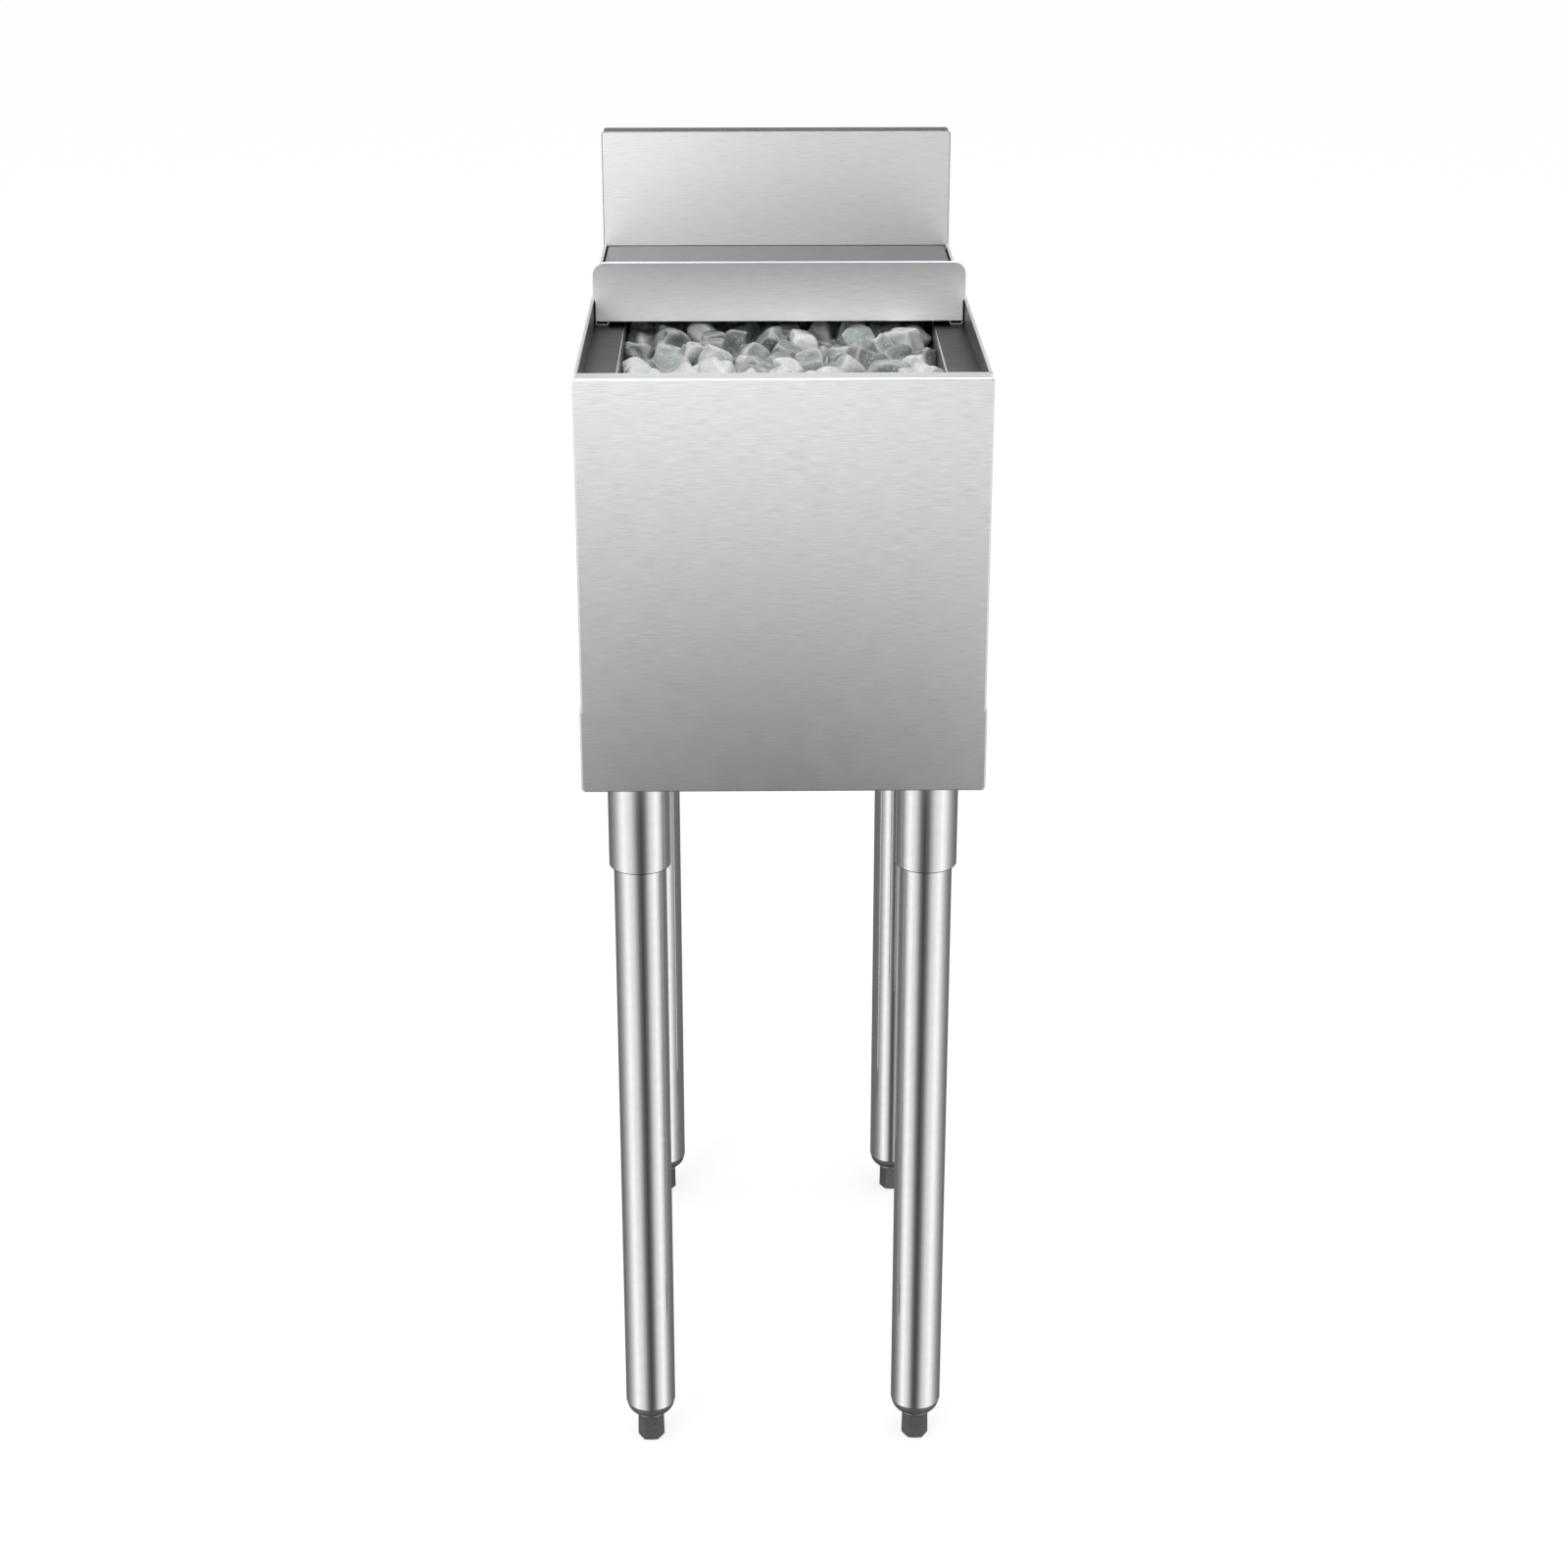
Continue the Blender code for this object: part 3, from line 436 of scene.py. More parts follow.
# How far a face looks along an axis: from -1, straight against it, to 1, straight along it.
MOSTLY = 0.7
STRAIGHT = 0.9
TURNED_AWAY = -0.5
BRIGHT_BEND = (0.2, 0.96)


def noise(tree, place, scale, detail, roughness=0.5):
    """The value of a noise at a place."""
    made = node(tree, "TexNoise", place)
    return feed(tree, made, Scale=scale, Detail=detail, Roughness=roughness).outputs[0]


def streaks(tree, along, across, length, width, seed, detail):
    """Noise drawn out along the sheet."""
    along = maths(tree, "DIVIDE", along, length)
    across = maths(tree, "DIVIDE", across, width)
    place = node(tree, "CombineXYZ", along, across, seed).outputs[0]
    return noise(tree, place, 1.0, detail, STREAK_ROUGHNESS)


brushing, given, result = new_group(
    "brushed_grain",
    (("Length", GRAIN_LENGTH), ("Width", GRAIN_WIDTH), ("Waver", GRAIN_WAVER), ("Seed", 0.0)),
    ("Tone", "Height"),
)
spot = node(brushing, "TexCoord").outputs
x, y, z = node(brushing, "SeparateXYZ", spot["Object"]).outputs
facing = node(brushing, "SeparateXYZ", spot["Normal"]).outputs
sideways = maths(brushing, "GREATER_THAN", maths(brushing, "ABSOLUTE", facing[0]), MOSTLY)
upwards = maths(brushing, "GREATER_THAN", maths(brushing, "ABSOLUTE", facing[2]), MOSTLY)
along = mix_value(brushing, sideways, x, y)
across = mix_value(brushing, upwards, z, y)
waver = streaks(brushing, along, across, WAVER_LENGTH, WAVER_HEIGHT, given["Seed"], 1.0)
waver = maths(brushing, "MULTIPLY", maths(brushing, "SUBTRACT", waver, 0.5), given["Waver"])
across = maths(brushing, "ADD", across, waver)
fine = streaks(brushing, along, across, given["Length"], given["Width"], given["Seed"], 2.0)
wide_length = maths(brushing, "MULTIPLY", given["Length"], BROAD_GRAIN_LONGER)
wide_width = maths(brushing, "MULTIPLY", given["Width"], BROAD_GRAIN_WIDER)
broad = streaks(brushing, along, across, wide_length, wide_width, given["Seed"], 2.0)
tone = mix_value(brushing, BROAD_GRAIN_SHARE, fine, broad)
brushing.links.new(spread(brushing, tone, *GRAIN_TONES), result["Tone"])
brushing.links.new(fine, result["Height"])

smudge, given, result = new_group("handling_marks", (("Size", HANDLING_SIZE), ("Seed", 0.0)), ("Mark",))
place = in_sizes(smudge, own_place(smudge), given["Size"])
cloud = feed(smudge, node(smudge, "TexNoise", place, given["Seed"], noise_dimensions="4D"), Detail=4.0)
smudge.links.new(spread(smudge, cloud.outputs[0], *HANDLING_TONES), result["Mark"])


def brushed_steel(name, finish, seed, painted_shade=None):
    """Brushed stainless steel: streaks in tone, gloss and relief, and faint marks of handling.

    A finish holds the dark and the light of the grain, and the roughness. Painted shade holds an axis, two
    places
    on it and a share: between the places the tone darkens, as painted shade, from its own to that share of
    it.
    """
    made, tree = plain_material(name)
    dark, light, roughness = finish
    tones = (*dark, 1), (*light, 1)
    if painted_shade:
        axis, lit_end, shaded_end, share = painted_shade
        spot = node(tree, "SeparateXYZ", own_place(tree)).outputs
        painted_shading = spread(tree, spot[axis], lit_end, shaded_end, 1.0, share)
        tones = [node(tree, "VectorMath", tone, operation="SCALE") for tone in (dark, light)]
        tones = [feed(tree, tone, Scale=painted_shading).outputs[0] for tone in tones]
    grain = node(tree, "Group", GRAIN_LENGTH, GRAIN_WIDTH, GRAIN_WAVER, seed, node_tree=brushing).outputs
    mark = node(tree, "Group", HANDLING_SIZE, seed, node_tree=smudge).outputs[0]
    gloss = mix_value(tree, grain["Tone"], roughness + GLOSS_SWING, roughness - GLOSS_SWING)
    gloss = maths(tree, "ADD", gloss, maths(tree, "MULTIPLY", mark, HANDLING_DULLNESS))
    surface(
        tree, Base_Color=mix_colour(tree, grain["Tone"], *tones), Metallic=1.0,
        Roughness=gloss, Normal=relief(tree, grain["Height"], GRAIN_DEPTH),
    )
    return made


def round_over(bm, edges, radius, steps, clamp=False):
    """Round edges to a radius."""
    bmesh.ops.bevel(
        bm, geom=edges, offset=radius, offset_type="OFFSET", segments=steps, profile=0.5, affect="EDGES",
        clamp_overlap=clamp,
    )


def bend_edges(bm, radius, only_depthwise):
    """Round the folded edges of a sheet that are still square, or only those that run front to back."""
    bm.normal_update()
    folds = [edge for edge in bm.edges if len(edge.link_faces) == 2 and edge.calc_face_angle(0) > FOLD_ANGLE]
    if only_depthwise:
        folds = [edge for edge in folds if abs(edge.verts[0].co.y - edge.verts[1].co.y) > radius]
    round_over(bm, folds, radius, BEND_STEPS)


def between(value, ends):
    """Whether a value lies between two ends."""
    return ends[0] < value < ends[1]


def repaint(piece, material, test):
    """Give another material to the faces whose middle and normal pass a test."""
    piece.data.materials.append(material)
    for face in piece.data.polygons:
        if test(face.center, face.normal):
            face.material_index = len(piece.data.materials) - 1


def open_box(bm, levels, front, back, corner, fold, with_floor):
    """A box of sheet, open behind: levels hold the height and the half width of its corners, lowest first."""
    rows = []
    for height, half in levels:
        corners = ((-half, back), (-half, front), (half, front), (half, back))
        rows.append([(x, y, height) for x, y in corners])
    grid = strips(bm, rows)
    bm.faces.new(grid[-1])
    if with_floor:
        bm.faces.new(grid[0][::-1])
    bend_edges(bm, corner, True)
    bend_edges(bm, fold, False)


def move_grown(bm, grown, offset):
    """Move what an extrusion has just added. Returns its vertices."""
    moved = [item for item in grown["geom"] if isinstance(item, bmesh.types.BMVert)]
    bmesh.ops.translate(bm, verts=moved, vec=offset)
    return moved


def draw_out(bm, test, offset):
    """Draw the free edges whose ends pass a test out by an offset. Returns the new vertices."""
    edges = [edge for edge in bm.edges if edge.is_boundary and all(test(vertex.co) for vertex in edge.verts)]
    return move_grown(bm, bmesh.ops.extrude_edge_only(bm, edges=edges), offset)


panel_steel = brushed_steel("brushed_front", PANEL_FINISH, seed=1.0)
side_steel = brushed_steel("brushed_sides", PANEL_FINISH, seed=2.0)
highlight_steel = brushed_steel("painted_highlight_edges", EDGE_HIGHLIGHT_FINISH, seed=3.5)
shaded_fold_steel = brushed_steel("painted_shade_folds", FOLD_SHADE_FINISH, seed=2.5)

front_low, front_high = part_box("front_panel")
side_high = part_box("side_panel_right")[1]
band_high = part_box("base_band_right")[1]
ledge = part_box("liner")[1].z
half_width = side_high.x
step_out = front_high.x - half_width
bm = bmesh.new()
levels = (
    (front_low.z, front_high.x), (band_high.z, front_high.x),
    (band_high.z + step_out, half_width), (front_high.z, half_width),
)
open_box(bm, levels, front_low.y, front_high.y, FRONT_CORNER, FRONT_BEND, with_floor=True)
deck_end = half_width - FRONT_CORNER + SAME_POINT
draw_out(
    bm,
    lambda p: p.y > front_high.y - SAME_POINT and p.z > front_high.z - SAME_POINT and abs(p.x) < deck_end,
    (0, 0, ledge - front_high.z + SEAM),
)
front = sheet_metal("front_sheet", bm, (front_low + front_high) / 2, PANEL_SHEET, panel_steel)
bend_foot = front_high.z - FRONT_BEND
# The front bend of the deck gets the painted highlight.
repaint(front, highlight_steel, lambda middle, normal: middle.z > bend_foot and between(normal.z, BRIGHT_BEND))
stand_for(front, "front_panel")

splash_low, splash_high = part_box("backsplash")
splash_face = splash_low.y
for name, side in (("side_panel_left", -1), ("side_panel_right", 1)):
    low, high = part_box(name)
    outer, inner = (low.x, high.x) if side < 0 else (high.x, low.x)
    section = rounded(((outer, low.z), (outer, high.z), (inner, high.z), (inner, ledge + SEAM)), RIM_BEND)
    rim_span = (low.y, splash_face - SEAM)
    bm = bmesh.new()
    grid = strips(bm, [[(x, y, z) for x, z in section] for y in rim_span])
    behind = [bm.verts.new((point.x, high.y, point.y)) for point in section[:2]]
    bm.faces.new((grid[1][0], grid[1][1], behind[1], behind[0]))
    inside = (outer - side * PANEL_SHEET, (low.y + high.y) / 2, (low.z + high.z) / 2)
    panel = sheet_metal(name + "_sheet", bm, inside, PANEL_SHEET, side_steel)
    bend_foot = high.z - RIM_BEND
    # The inner face of each rim, turned into the well, gets the painted shade.
    repaint(panel, shaded_fold_steel, lambda middle, normal: middle.z < bend_foot and normal.x * side < TURNED_AWAY)
    stand_for(panel, name)

low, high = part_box("back_panel")
corners = ((high.y - BASE_LIP, low.z), (high.y, low.z), (high.y, high.z), (low.y, high.z))
section = rounded(corners, PANEL_BEND)
bm = bmesh.new()
strips(bm, [[(x, y, z) for y, z in section] for x in (low.x, high.x)])
back = sheet_metal("back_sheet", bm, (0, 0, (low.z + high.z) / 2), PANEL_SHEET, side_steel)
stand_for(back, "back_panel")

for name, side in (("base_band_left", -1), ("base_band_right", 1)):
    low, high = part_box(name)
    outer, inner = (low.x, high.x) if side < 0 else (high.x, low.x)
    section = rounded(((outer, high.z), (outer, low.z), (inner, low.z)), PANEL_BEND)
    bm = bmesh.new()
    strips(bm, [[(x, y, z) for x, z in section] for y in (low.y, high.y)])
    band = sheet_metal(name + "_sheet", bm, (0, 0, high.z), BAND_SHEET, side_steel)
    stand_for(band, name)

# The insulation: boards of yellowish foam round the well and under it. They keep the solids' shapes, because
# the panels hide them from every side.
FOAM_PALE = (0.88, 0.84, 0.68, 1)
FOAM_DEEP = (0.72, 0.66, 0.47, 1)
FOAM_ROUGHNESS = 0.9
FOAM_CELLS_PER_METRE = 900.0
FOAM_RELIEF = 0.0003

foam, tree = plain_material("foam_board")
bubbles = feed(tree, node(tree, "TexVoronoi", own_place(tree)), Scale=FOAM_CELLS_PER_METRE)
cell = bubbles.outputs["Distance"]
surface(
    tree, Base_Color=mix_colour(tree, cell, FOAM_PALE, FOAM_DEEP), Roughness=FOAM_ROUGHNESS,
    Normal=relief(tree, cell, FOAM_RELIEF),
)
for name in ("front", "back", "left", "right", "bottom"):
    frame["nodes"]["insulation_" + name].data.materials[0] = foam

# The liner: the pressed well that holds the ice, with the ledge that the lid slides on, a rolled lip, coved
# corners and a floor that falls to the drain. It is painted darker than the outside, as shade, and darker
# still on the ledge towards the back, as painted shade; its lip carries a painted highlight.
LINER_SHEET = 0.001
LIP_BEND = 0.0018
WELL_CORNER = 0.025
WELL_COVE = 0.020
WELL_SIDE = 0.0278
FRONT_SHELF = 0.002
BACK_SHELF = 0.023
FLOOR_FALL = 0.003
CORNER_STEPS = 10
COVE_STEPS = 8
DRAIN_SHANK = 0.0165
DRAIN_FIT = 0.0005
# Painted shade: the well and the ledge are far darker copies of the outside's brushed steel.
WELL_SHADE_FINISH = ((0.17, 0.165, 0.168), (0.25, 0.244, 0.247), 0.42)
LEDGE_SHADE_FINISH = ((0.112, 0.108, 0.110), (0.182, 0.177, 0.179), 0.40)
LEDGE_SHADE_END = -0.02
LEDGE_SHADE_SHARE = 0.30
BRIGHT_LIP = (0.15, 0.93)

shaded_well_steel = brushed_steel("shaded_well_steel", WELL_SHADE_FINISH, seed=3.0)
# Painted shade on the ledge: its tone falls from the front edge back towards the handle.
ledge_painted_shade = (1, front_high.y, LEDGE_SHADE_END, LEDGE_SHADE_SHARE)
shaded_ledge_steel = brushed_steel("shaded_ledge_steel", LEDGE_SHADE_FINISH, seed=3.2, painted_shade=ledge_painted_shade)


def around(centre, radius, angle, height):
    """A point at a radius and an angle round an upright axis."""
    return centre[0] + radius * cos(angle), centre[1] + radius * sin(angle), height


def corner_ring(half, front, back, radius, height):
    """A rectangle with round corners, seen from above."""
    corners = (
        (half - radius, back - radius), (-half + radius, back - radius),
        (-half + radius, front + radius), (half - radius, front + radius),
    )
    points = []
    for quarter, corner in enumerate(corners):
        for step in range(CORNER_STEPS + 1):
            points.append(around(corner, radius, pi / 2 * (quarter + step / CORNER_STEPS), height))
    return points


def round_ring(radius, y, height):
    """A circle that has as many points as a corner ring, in the same order."""
    count = 4 * (CORNER_STEPS + 1)
    return [around((0, y), radius, 2 * pi * (index + 0.5) / count, height) for index in range(count)]


low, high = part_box("liner")
well_half = half_width - WELL_SIDE
well_front = front_high.y + FRONT_SHELF
well_back = splash_face - BACK_SHELF
well_floor = low.z + FLOOR_FALL + LINER_SHEET
drain_low, drain_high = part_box("drain_body")
drain_y = (drain_low.y + drain_high.y) / 2


def well_ring(offset, height):
    """A ring of the well's wall, moved outwards by an offset."""
    sides = (well_half + offset, well_front - offset, well_back + offset)
    return corner_ring(*sides, WELL_CORNER + offset, height)


rows = [corner_ring(high.x, low.y, high.y, LIP_BEND / 2, high.z)]
for step in range(BEND_STEPS + 1):
    angle = pi / 2 * step / BEND_STEPS
    rows.append(well_ring(LIP_BEND * (1 - sin(angle)), high.z - LIP_BEND * (1 - cos(angle))))
for step in range(COVE_STEPS + 1):
    angle = pi / 2 * step / COVE_STEPS
    rows.append(well_ring(-WELL_COVE * (1 - cos(angle)), well_floor + WELL_COVE * (1 - sin(angle))))
rows.append(round_ring(DRAIN_SHANK + DRAIN_FIT, drain_y, well_floor - FLOOR_FALL))
bm = bmesh.new()
strips(bm, [[*row, row[0]] for row in rows])
inside = (0, drain_y, (low.z + high.z) / 2)
liner = sheet_metal("liner_pressing", bm, inside, LINER_SHEET, shaded_well_steel, drawn_inside=True)
lip_foot = high.z - LIP_BEND
lip_middle = high.z - LIP_BEND / 2
repaint(liner, shaded_ledge_steel, lambda middle, normal: middle.z > lip_middle and normal.z > BRIGHT_LIP[1])
# The lip's bend gets the painted highlight.
repaint(liner, highlight_steel, lambda middle, normal: middle.z > lip_foot and between(normal.z, BRIGHT_LIP))
stand_for(liner, "liner")

# The drain: a polished flanged tube through the liner's floor with a perforated strainer in its dish, and a
# rubber gasket and a locknut drawn up from below. The strainer keeps its solid, because ice always covers it.
DRAIN_BORE = 0.0125
DRAIN_LIP = 0.0015
DRAIN_EASE = 0.001
STRAINER_SHOULDER = 0.0263
LOCKNUT_EASE = 0.001
GASKET_EASE = 0.0008
EASE_STEPS = 4
TURNED_SIDES = 72
POLISHED_LIGHT = (0.96, 0.96, 0.96, 1)
POLISHED_DARK = (0.91, 0.91, 0.92, 1)
POLISH_GRAIN_LENGTH = 0.012
POLISH_GRAIN_DULLNESS = 0.015
POLISH_GRAIN_DEPTH = 0.0000012
POLISH_CLOUD_SIZE = 0.035
POLISH_CLOUD_DULLNESS = 0.03
DRAIN_ROUGHNESS = 0.14
RUBBER_DARK = (0.025, 0.025, 0.027, 1)
RUBBER_PALE = (0.055, 0.055, 0.057, 1)
RUBBER_GLOSSY = 0.72
RUBBER_DULL = 0.9
RUBBER_MARK_SIZE = 0.006
RUBBER_RELIEF = 0.00008


def join_rings(bm, near, far):
    """Faces between two closed rings of vertices. Where a ring is one vertex repeated, they are triangles."""
    for side in range(len(near)):
        after = (side + 1) % len(near)
        corners = (near[side], near[after], far[after], far[side])
        bm.faces.new(list(dict.fromkeys(corners)))


def turn_into(bm, outline, centre, sides=TURNED_SIDES):
    """Turn an outline of radius and height, from the axis and back to it or round a bore, into a bmesh."""
    rings = []
    for radius, height in outline:
        if radius == 0:
            rings.append([bm.verts.new((*centre, height))] * sides)
            continue
        angles = [2 * pi * side / sides for side in range(sides)]
        rings.append([bm.verts.new(around(centre, radius, angle, height)) for angle in angles])
    pairs = list(zip(rings, rings[1:]))
    if outline[0][0] > 0:
        pairs.append((rings[-1], rings[0]))
    for near, far in pairs:
        join_rings(bm, near, far)


def closed_piece(name, bm, material):
    """A closed, smooth piece whose faces look outwards."""
    bmesh.ops.recalc_face_normals(bm, faces=bm.faces)
    return smooth(link_mesh(name, bm, material))


def turned(name, outline, centre, material):
    """A turned piece of its own."""
    bm = bmesh.new()
    turn_into(bm, outline, centre)
    return closed_piece(name, bm, material)


def polished_steel(name, roughness, seed):
    """Polished stainless steel, with the faintest unevenness of gloss and clouding from handling."""
    made, tree = plain_material(name)
    cloud = node(tree, "Group", POLISH_CLOUD_SIZE, seed, node_tree=smudge).outputs[0]
    grain = node(tree, "Group", POLISH_GRAIN_LENGTH, GRAIN_WIDTH, 0.0, seed, node_tree=brushing).outputs
    gloss = mix_value(tree, cloud, roughness, roughness + POLISH_CLOUD_DULLNESS)
    gloss = maths(tree, "ADD", gloss, maths(tree, "MULTIPLY", grain["Tone"], POLISH_GRAIN_DULLNESS))
    surface(
        tree, Base_Color=mix_colour(tree, cloud, POLISHED_LIGHT, POLISHED_DARK), Metallic=1.0,
        Roughness=gloss, Normal=relief(tree, grain["Height"], POLISH_GRAIN_DEPTH),
    )
    return made


drain_steel = polished_steel("drain_steel", DRAIN_ROUGHNESS, seed=5.0)
rubber, tree = plain_material("gasket_rubber")
mark = node(tree, "Group", RUBBER_MARK_SIZE, 3.0, node_tree=smudge).outputs[0]
surface(
    tree, Base_Color=mix_colour(tree, mark, RUBBER_DARK, RUBBER_PALE),
    Roughness=mix_value(tree, mark, RUBBER_GLOSSY, RUBBER_DULL), Normal=relief(tree, mark, RUBBER_RELIEF),
)

low, high = drain_low, drain_high
flange = high.x
centre = (0, drain_y)
dish = high.z - DRAIN_LIP
seat = dish - DRAIN_LIP
profile = [
    (DRAIN_BORE, dish), (STRAINER_SHOULDER, dish), (STRAINER_SHOULDER, high.z), (flange - DRAIN_LIP, high.z),
    (flange, high.z - DRAIN_LIP), (flange, seat), (DRAIN_SHANK, seat), (DRAIN_SHANK, low.z + DRAIN_EASE),
    (DRAIN_SHANK - DRAIN_EASE, low.z), (DRAIN_BORE, low.z),
]
drain = turned("drain_turning", profile, centre, drain_steel)
stand_for(drain, "drain_body")
frame["nodes"]["drain_strainer"].data.materials[0] = drain_steel

for name, material, slot, ease in (
    ("drain_gasket", rubber, "rubber", GASKET_EASE),
    ("drain_locknut", drain_steel, "polished_stainless", LOCKNUT_EASE),
):
    low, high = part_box(name)
    bore = DRAIN_SHANK + SEAM
    section = rounded(((bore, high.z), (high.x, high.z), (high.x, low.z), (bore, low.z)), ease, EASE_STEPS)
    stand_for(turned(name + "_ring", section, centre, material), name)

# The backsplash: one sheet bent back at the top and the sides, closed at its corners and open behind, with a
# narrow lip round its rear edge. Its front runs on down behind the lid to the ledge.
SPLASH_CORNER = 0.003
SPLASH_BEND = 0.0012
SPLASH_LIP = 0.012
SPLASH_FINISH = ((0.90, 0.90, 0.90), (1.0, 1.0, 1.0), 0.52)
# Painted shade: a dark copy of the steel that draws dark lines along the backsplash's front bends.
SPLASH_BEND_SHADE_FINISH = ((0.30, 0.30, 0.30), (0.38, 0.38, 0.38), 0.30)
# Painted shade: a darker copy of the steel for the backsplash's upward faces.
SPLASH_TOP_SHADE_FINISH = ((0.50, 0.50, 0.505), (0.62, 0.62, 0.625), 0.16)
# Painted light and shade across the backsplash: its tone falls from the left to a darker right end.
SPLASH_SHADE_START = -0.10
SPLASH_SHADE_SHARE = 0.84
SHADED_BEND = (0.1, 0.97)

splash_painted_shade = (0, SPLASH_SHADE_START, splash_high.x, SPLASH_SHADE_SHARE)
splash_steel = brushed_steel("brushed_backsplash", SPLASH_FINISH, seed=4.0, painted_shade=splash_painted_shade)
shaded_bend_steel = brushed_steel("painted_shade_bends", SPLASH_BEND_SHADE_FINISH, seed=4.2)
shaded_top_steel = brushed_steel("backsplash_top_painted_shade", SPLASH_TOP_SHADE_FINISH, seed=4.5)
low, high = splash_low, splash_high
foot = side_high.z - RIM_BEND + SEAM
bm = bmesh.new()
open_box(bm, ((foot, high.x), (high.z, high.x)), low.y, high.y, SPLASH_CORNER, SPLASH_BEND, with_floor=False)
face_end = high.x - SPLASH_BEND + SAME_POINT
draw_out(
    bm, lambda p: p.y < low.y + SAME_POINT and p.z < foot + SAME_POINT and abs(p.x) < face_end,
    (0, 0, low.z - foot),
)
lip_end = high.x - SPLASH_LIP
for vertex in draw_out(bm, lambda p: p.y > high.y - SAME_POINT, (0, 0, 0)):
    vertex.co.x = max(-lip_end, min(lip_end, vertex.co.x))
    vertex.co.z = min(vertex.co.z, high.z - SPLASH_LIP)
inside = (0, (low.y + high.y) / 2, (foot + high.z) / 2)
splash = sheet_metal("backsplash_sheet", bm, inside, PANEL_SHEET, splash_steel)
bend_end = low.y + SPLASH_BEND
# The top of the backsplash, facing up, gets the painted shade.
repaint(splash, shaded_top_steel, lambda middle, normal: normal.z > STRAIGHT)
# Its front bends get the painted shade as dark lines.
repaint(splash, shaded_bend_steel, lambda middle, normal: middle.y < bend_end and between(abs(normal.y), SHADED_BEND))
stand_for(splash, "backsplash")

# The lid: a sheet whose sides are folded down and in as U rails that slide on the ledges, with its front and
# back edges turned down. An upright double plate with round upper corners is welded across its front.
RAIL_WIDTH = 0.011
RAIL_UPTURN = 0.005
LID_BEND = 0.002
LID_FLANGE = 0.015
FLANGE_INSET = 0.0015
HANDLE_CORNER = 0.011
HANDLE_EDGE = 0.0011
HANDLE_EDGE_STEPS = 5
HANDLE_BRIGHT_FOOT = 0.006
HANDLE_SHADE_SHARE = 0.57
HANDLE_NOTCH_CLEARANCE = 0.0016
HANDLE_FLAT = 0.93
# Painted shade and reflection: the lid's steel is a dark bluish grey copy; its underside keeps the bright
# steel.
LID_SHADE_FINISH = ((0.178, 0.190, 0.206), (0.228, 0.242, 0.260), 0.34)
RAIL_FINISH = ((0.80, 0.80, 0.80), (0.92, 0.92, 0.92), 0.5)
HANDLE_FINISH = ((0.92, 0.92, 0.92), (1.0, 1.0, 1.0), 0.72)

lid_steel = brushed_steel("brushed_lid", LID_SHADE_FINISH, seed=5.0)
rail_steel = brushed_steel("rail_edges", RAIL_FINISH, seed=5.5)


def mirrored(points):
    """The points on the other side of the bin's middle, last first."""
    return [Vector((-point.x, point.y)) for point in reversed(points)]


low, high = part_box("lid_panel")
inner = high.x - RAIL_WIDTH
rail_corners = (
    (inner - FLANGE_INSET, high.z), (high.x, high.z), (high.x, low.z), (inner, low.z),
    (inner, low.z + RAIL_UPTURN),
)
right = rounded(rail_corners, LID_BEND)
left = mirrored(right)
bm = bmesh.new()
grid = strips(bm, [[(x, y, z) for x, z in left + right] for y in (low.y, high.y)])
for row in grid:
    fold = bm.edges.get((row[len(left) - 1], row[len(left)]))
    move_grown(bm, bmesh.ops.extrude_edge_only(bm, edges=[fold]), (0, 0, -LID_FLANGE))
lid = sheet_metal("lid_sheet", bm, (low + high) / 2, PANEL_SHEET, lid_steel)
rail_start = inner - SAME_POINT
repaint(lid, side_steel, lambda middle, normal: normal.z < TURNED_AWAY)
repaint(lid, rail_steel, lambda middle, normal: abs(normal.y) > STRAIGHT and abs(middle.x) > rail_start)
stand_for(lid, "lid_panel")

lid_half = high.x
low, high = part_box("lid_handle")
# Painted shade on the handle plate: its tone darkens from near its foot up to its top edge.
handle_painted_shade = (2, low.z + HANDLE_BRIGHT_FOOT, high.z, HANDLE_SHADE_SHARE)
handle_steel = brushed_steel("brushed_handle", HANDLE_FINISH, seed=6.0, painted_shade=handle_painted_shade)
notch = side_high.z + HANDLE_NOTCH_CLEARANCE
right = [Vector((lid_half, low.z)), Vector((lid_half, notch))]
right += rounded(((high.x, notch), (high.x, high.z), (0, high.z)), HANDLE_CORNER, CORNER_STEPS)[:-1]
bm = bmesh.new()
face = bm.faces.new([bm.verts.new((x, low.y, z)) for x, z in right + mirrored(right)])
move_grown(bm, bmesh.ops.extrude_face_region(bm, geom=[face]), (0, high.y - low.y, 0))
bmesh.ops.recalc_face_normals(bm, faces=bm.faces)
sharp = [edge for edge in bm.edges if edge.calc_face_angle(0) > FOLD_ANGLE]
rim = [edge for edge in sharp if abs(edge.verts[0].co.y - edge.verts[1].co.y) < SAME_POINT]
round_over(bm, rim, HANDLE_EDGE, HANDLE_EDGE_STEPS, clamp=True)
handle = smooth(link_mesh("handle_plate", bm, handle_steel))
edge_end = low.y + HANDLE_EDGE
# Its back takes the backsplash's steel, with the painted light and shade from left to right.
repaint(handle, splash_steel, lambda middle, normal: normal.y > STRAIGHT)
# The plate's rounded edges get the painted highlight.
repaint(handle, highlight_steel, lambda middle, normal: middle.y < edge_end and abs(normal.y) < HANDLE_FLAT)
stand_for(handle, "lid_handle")

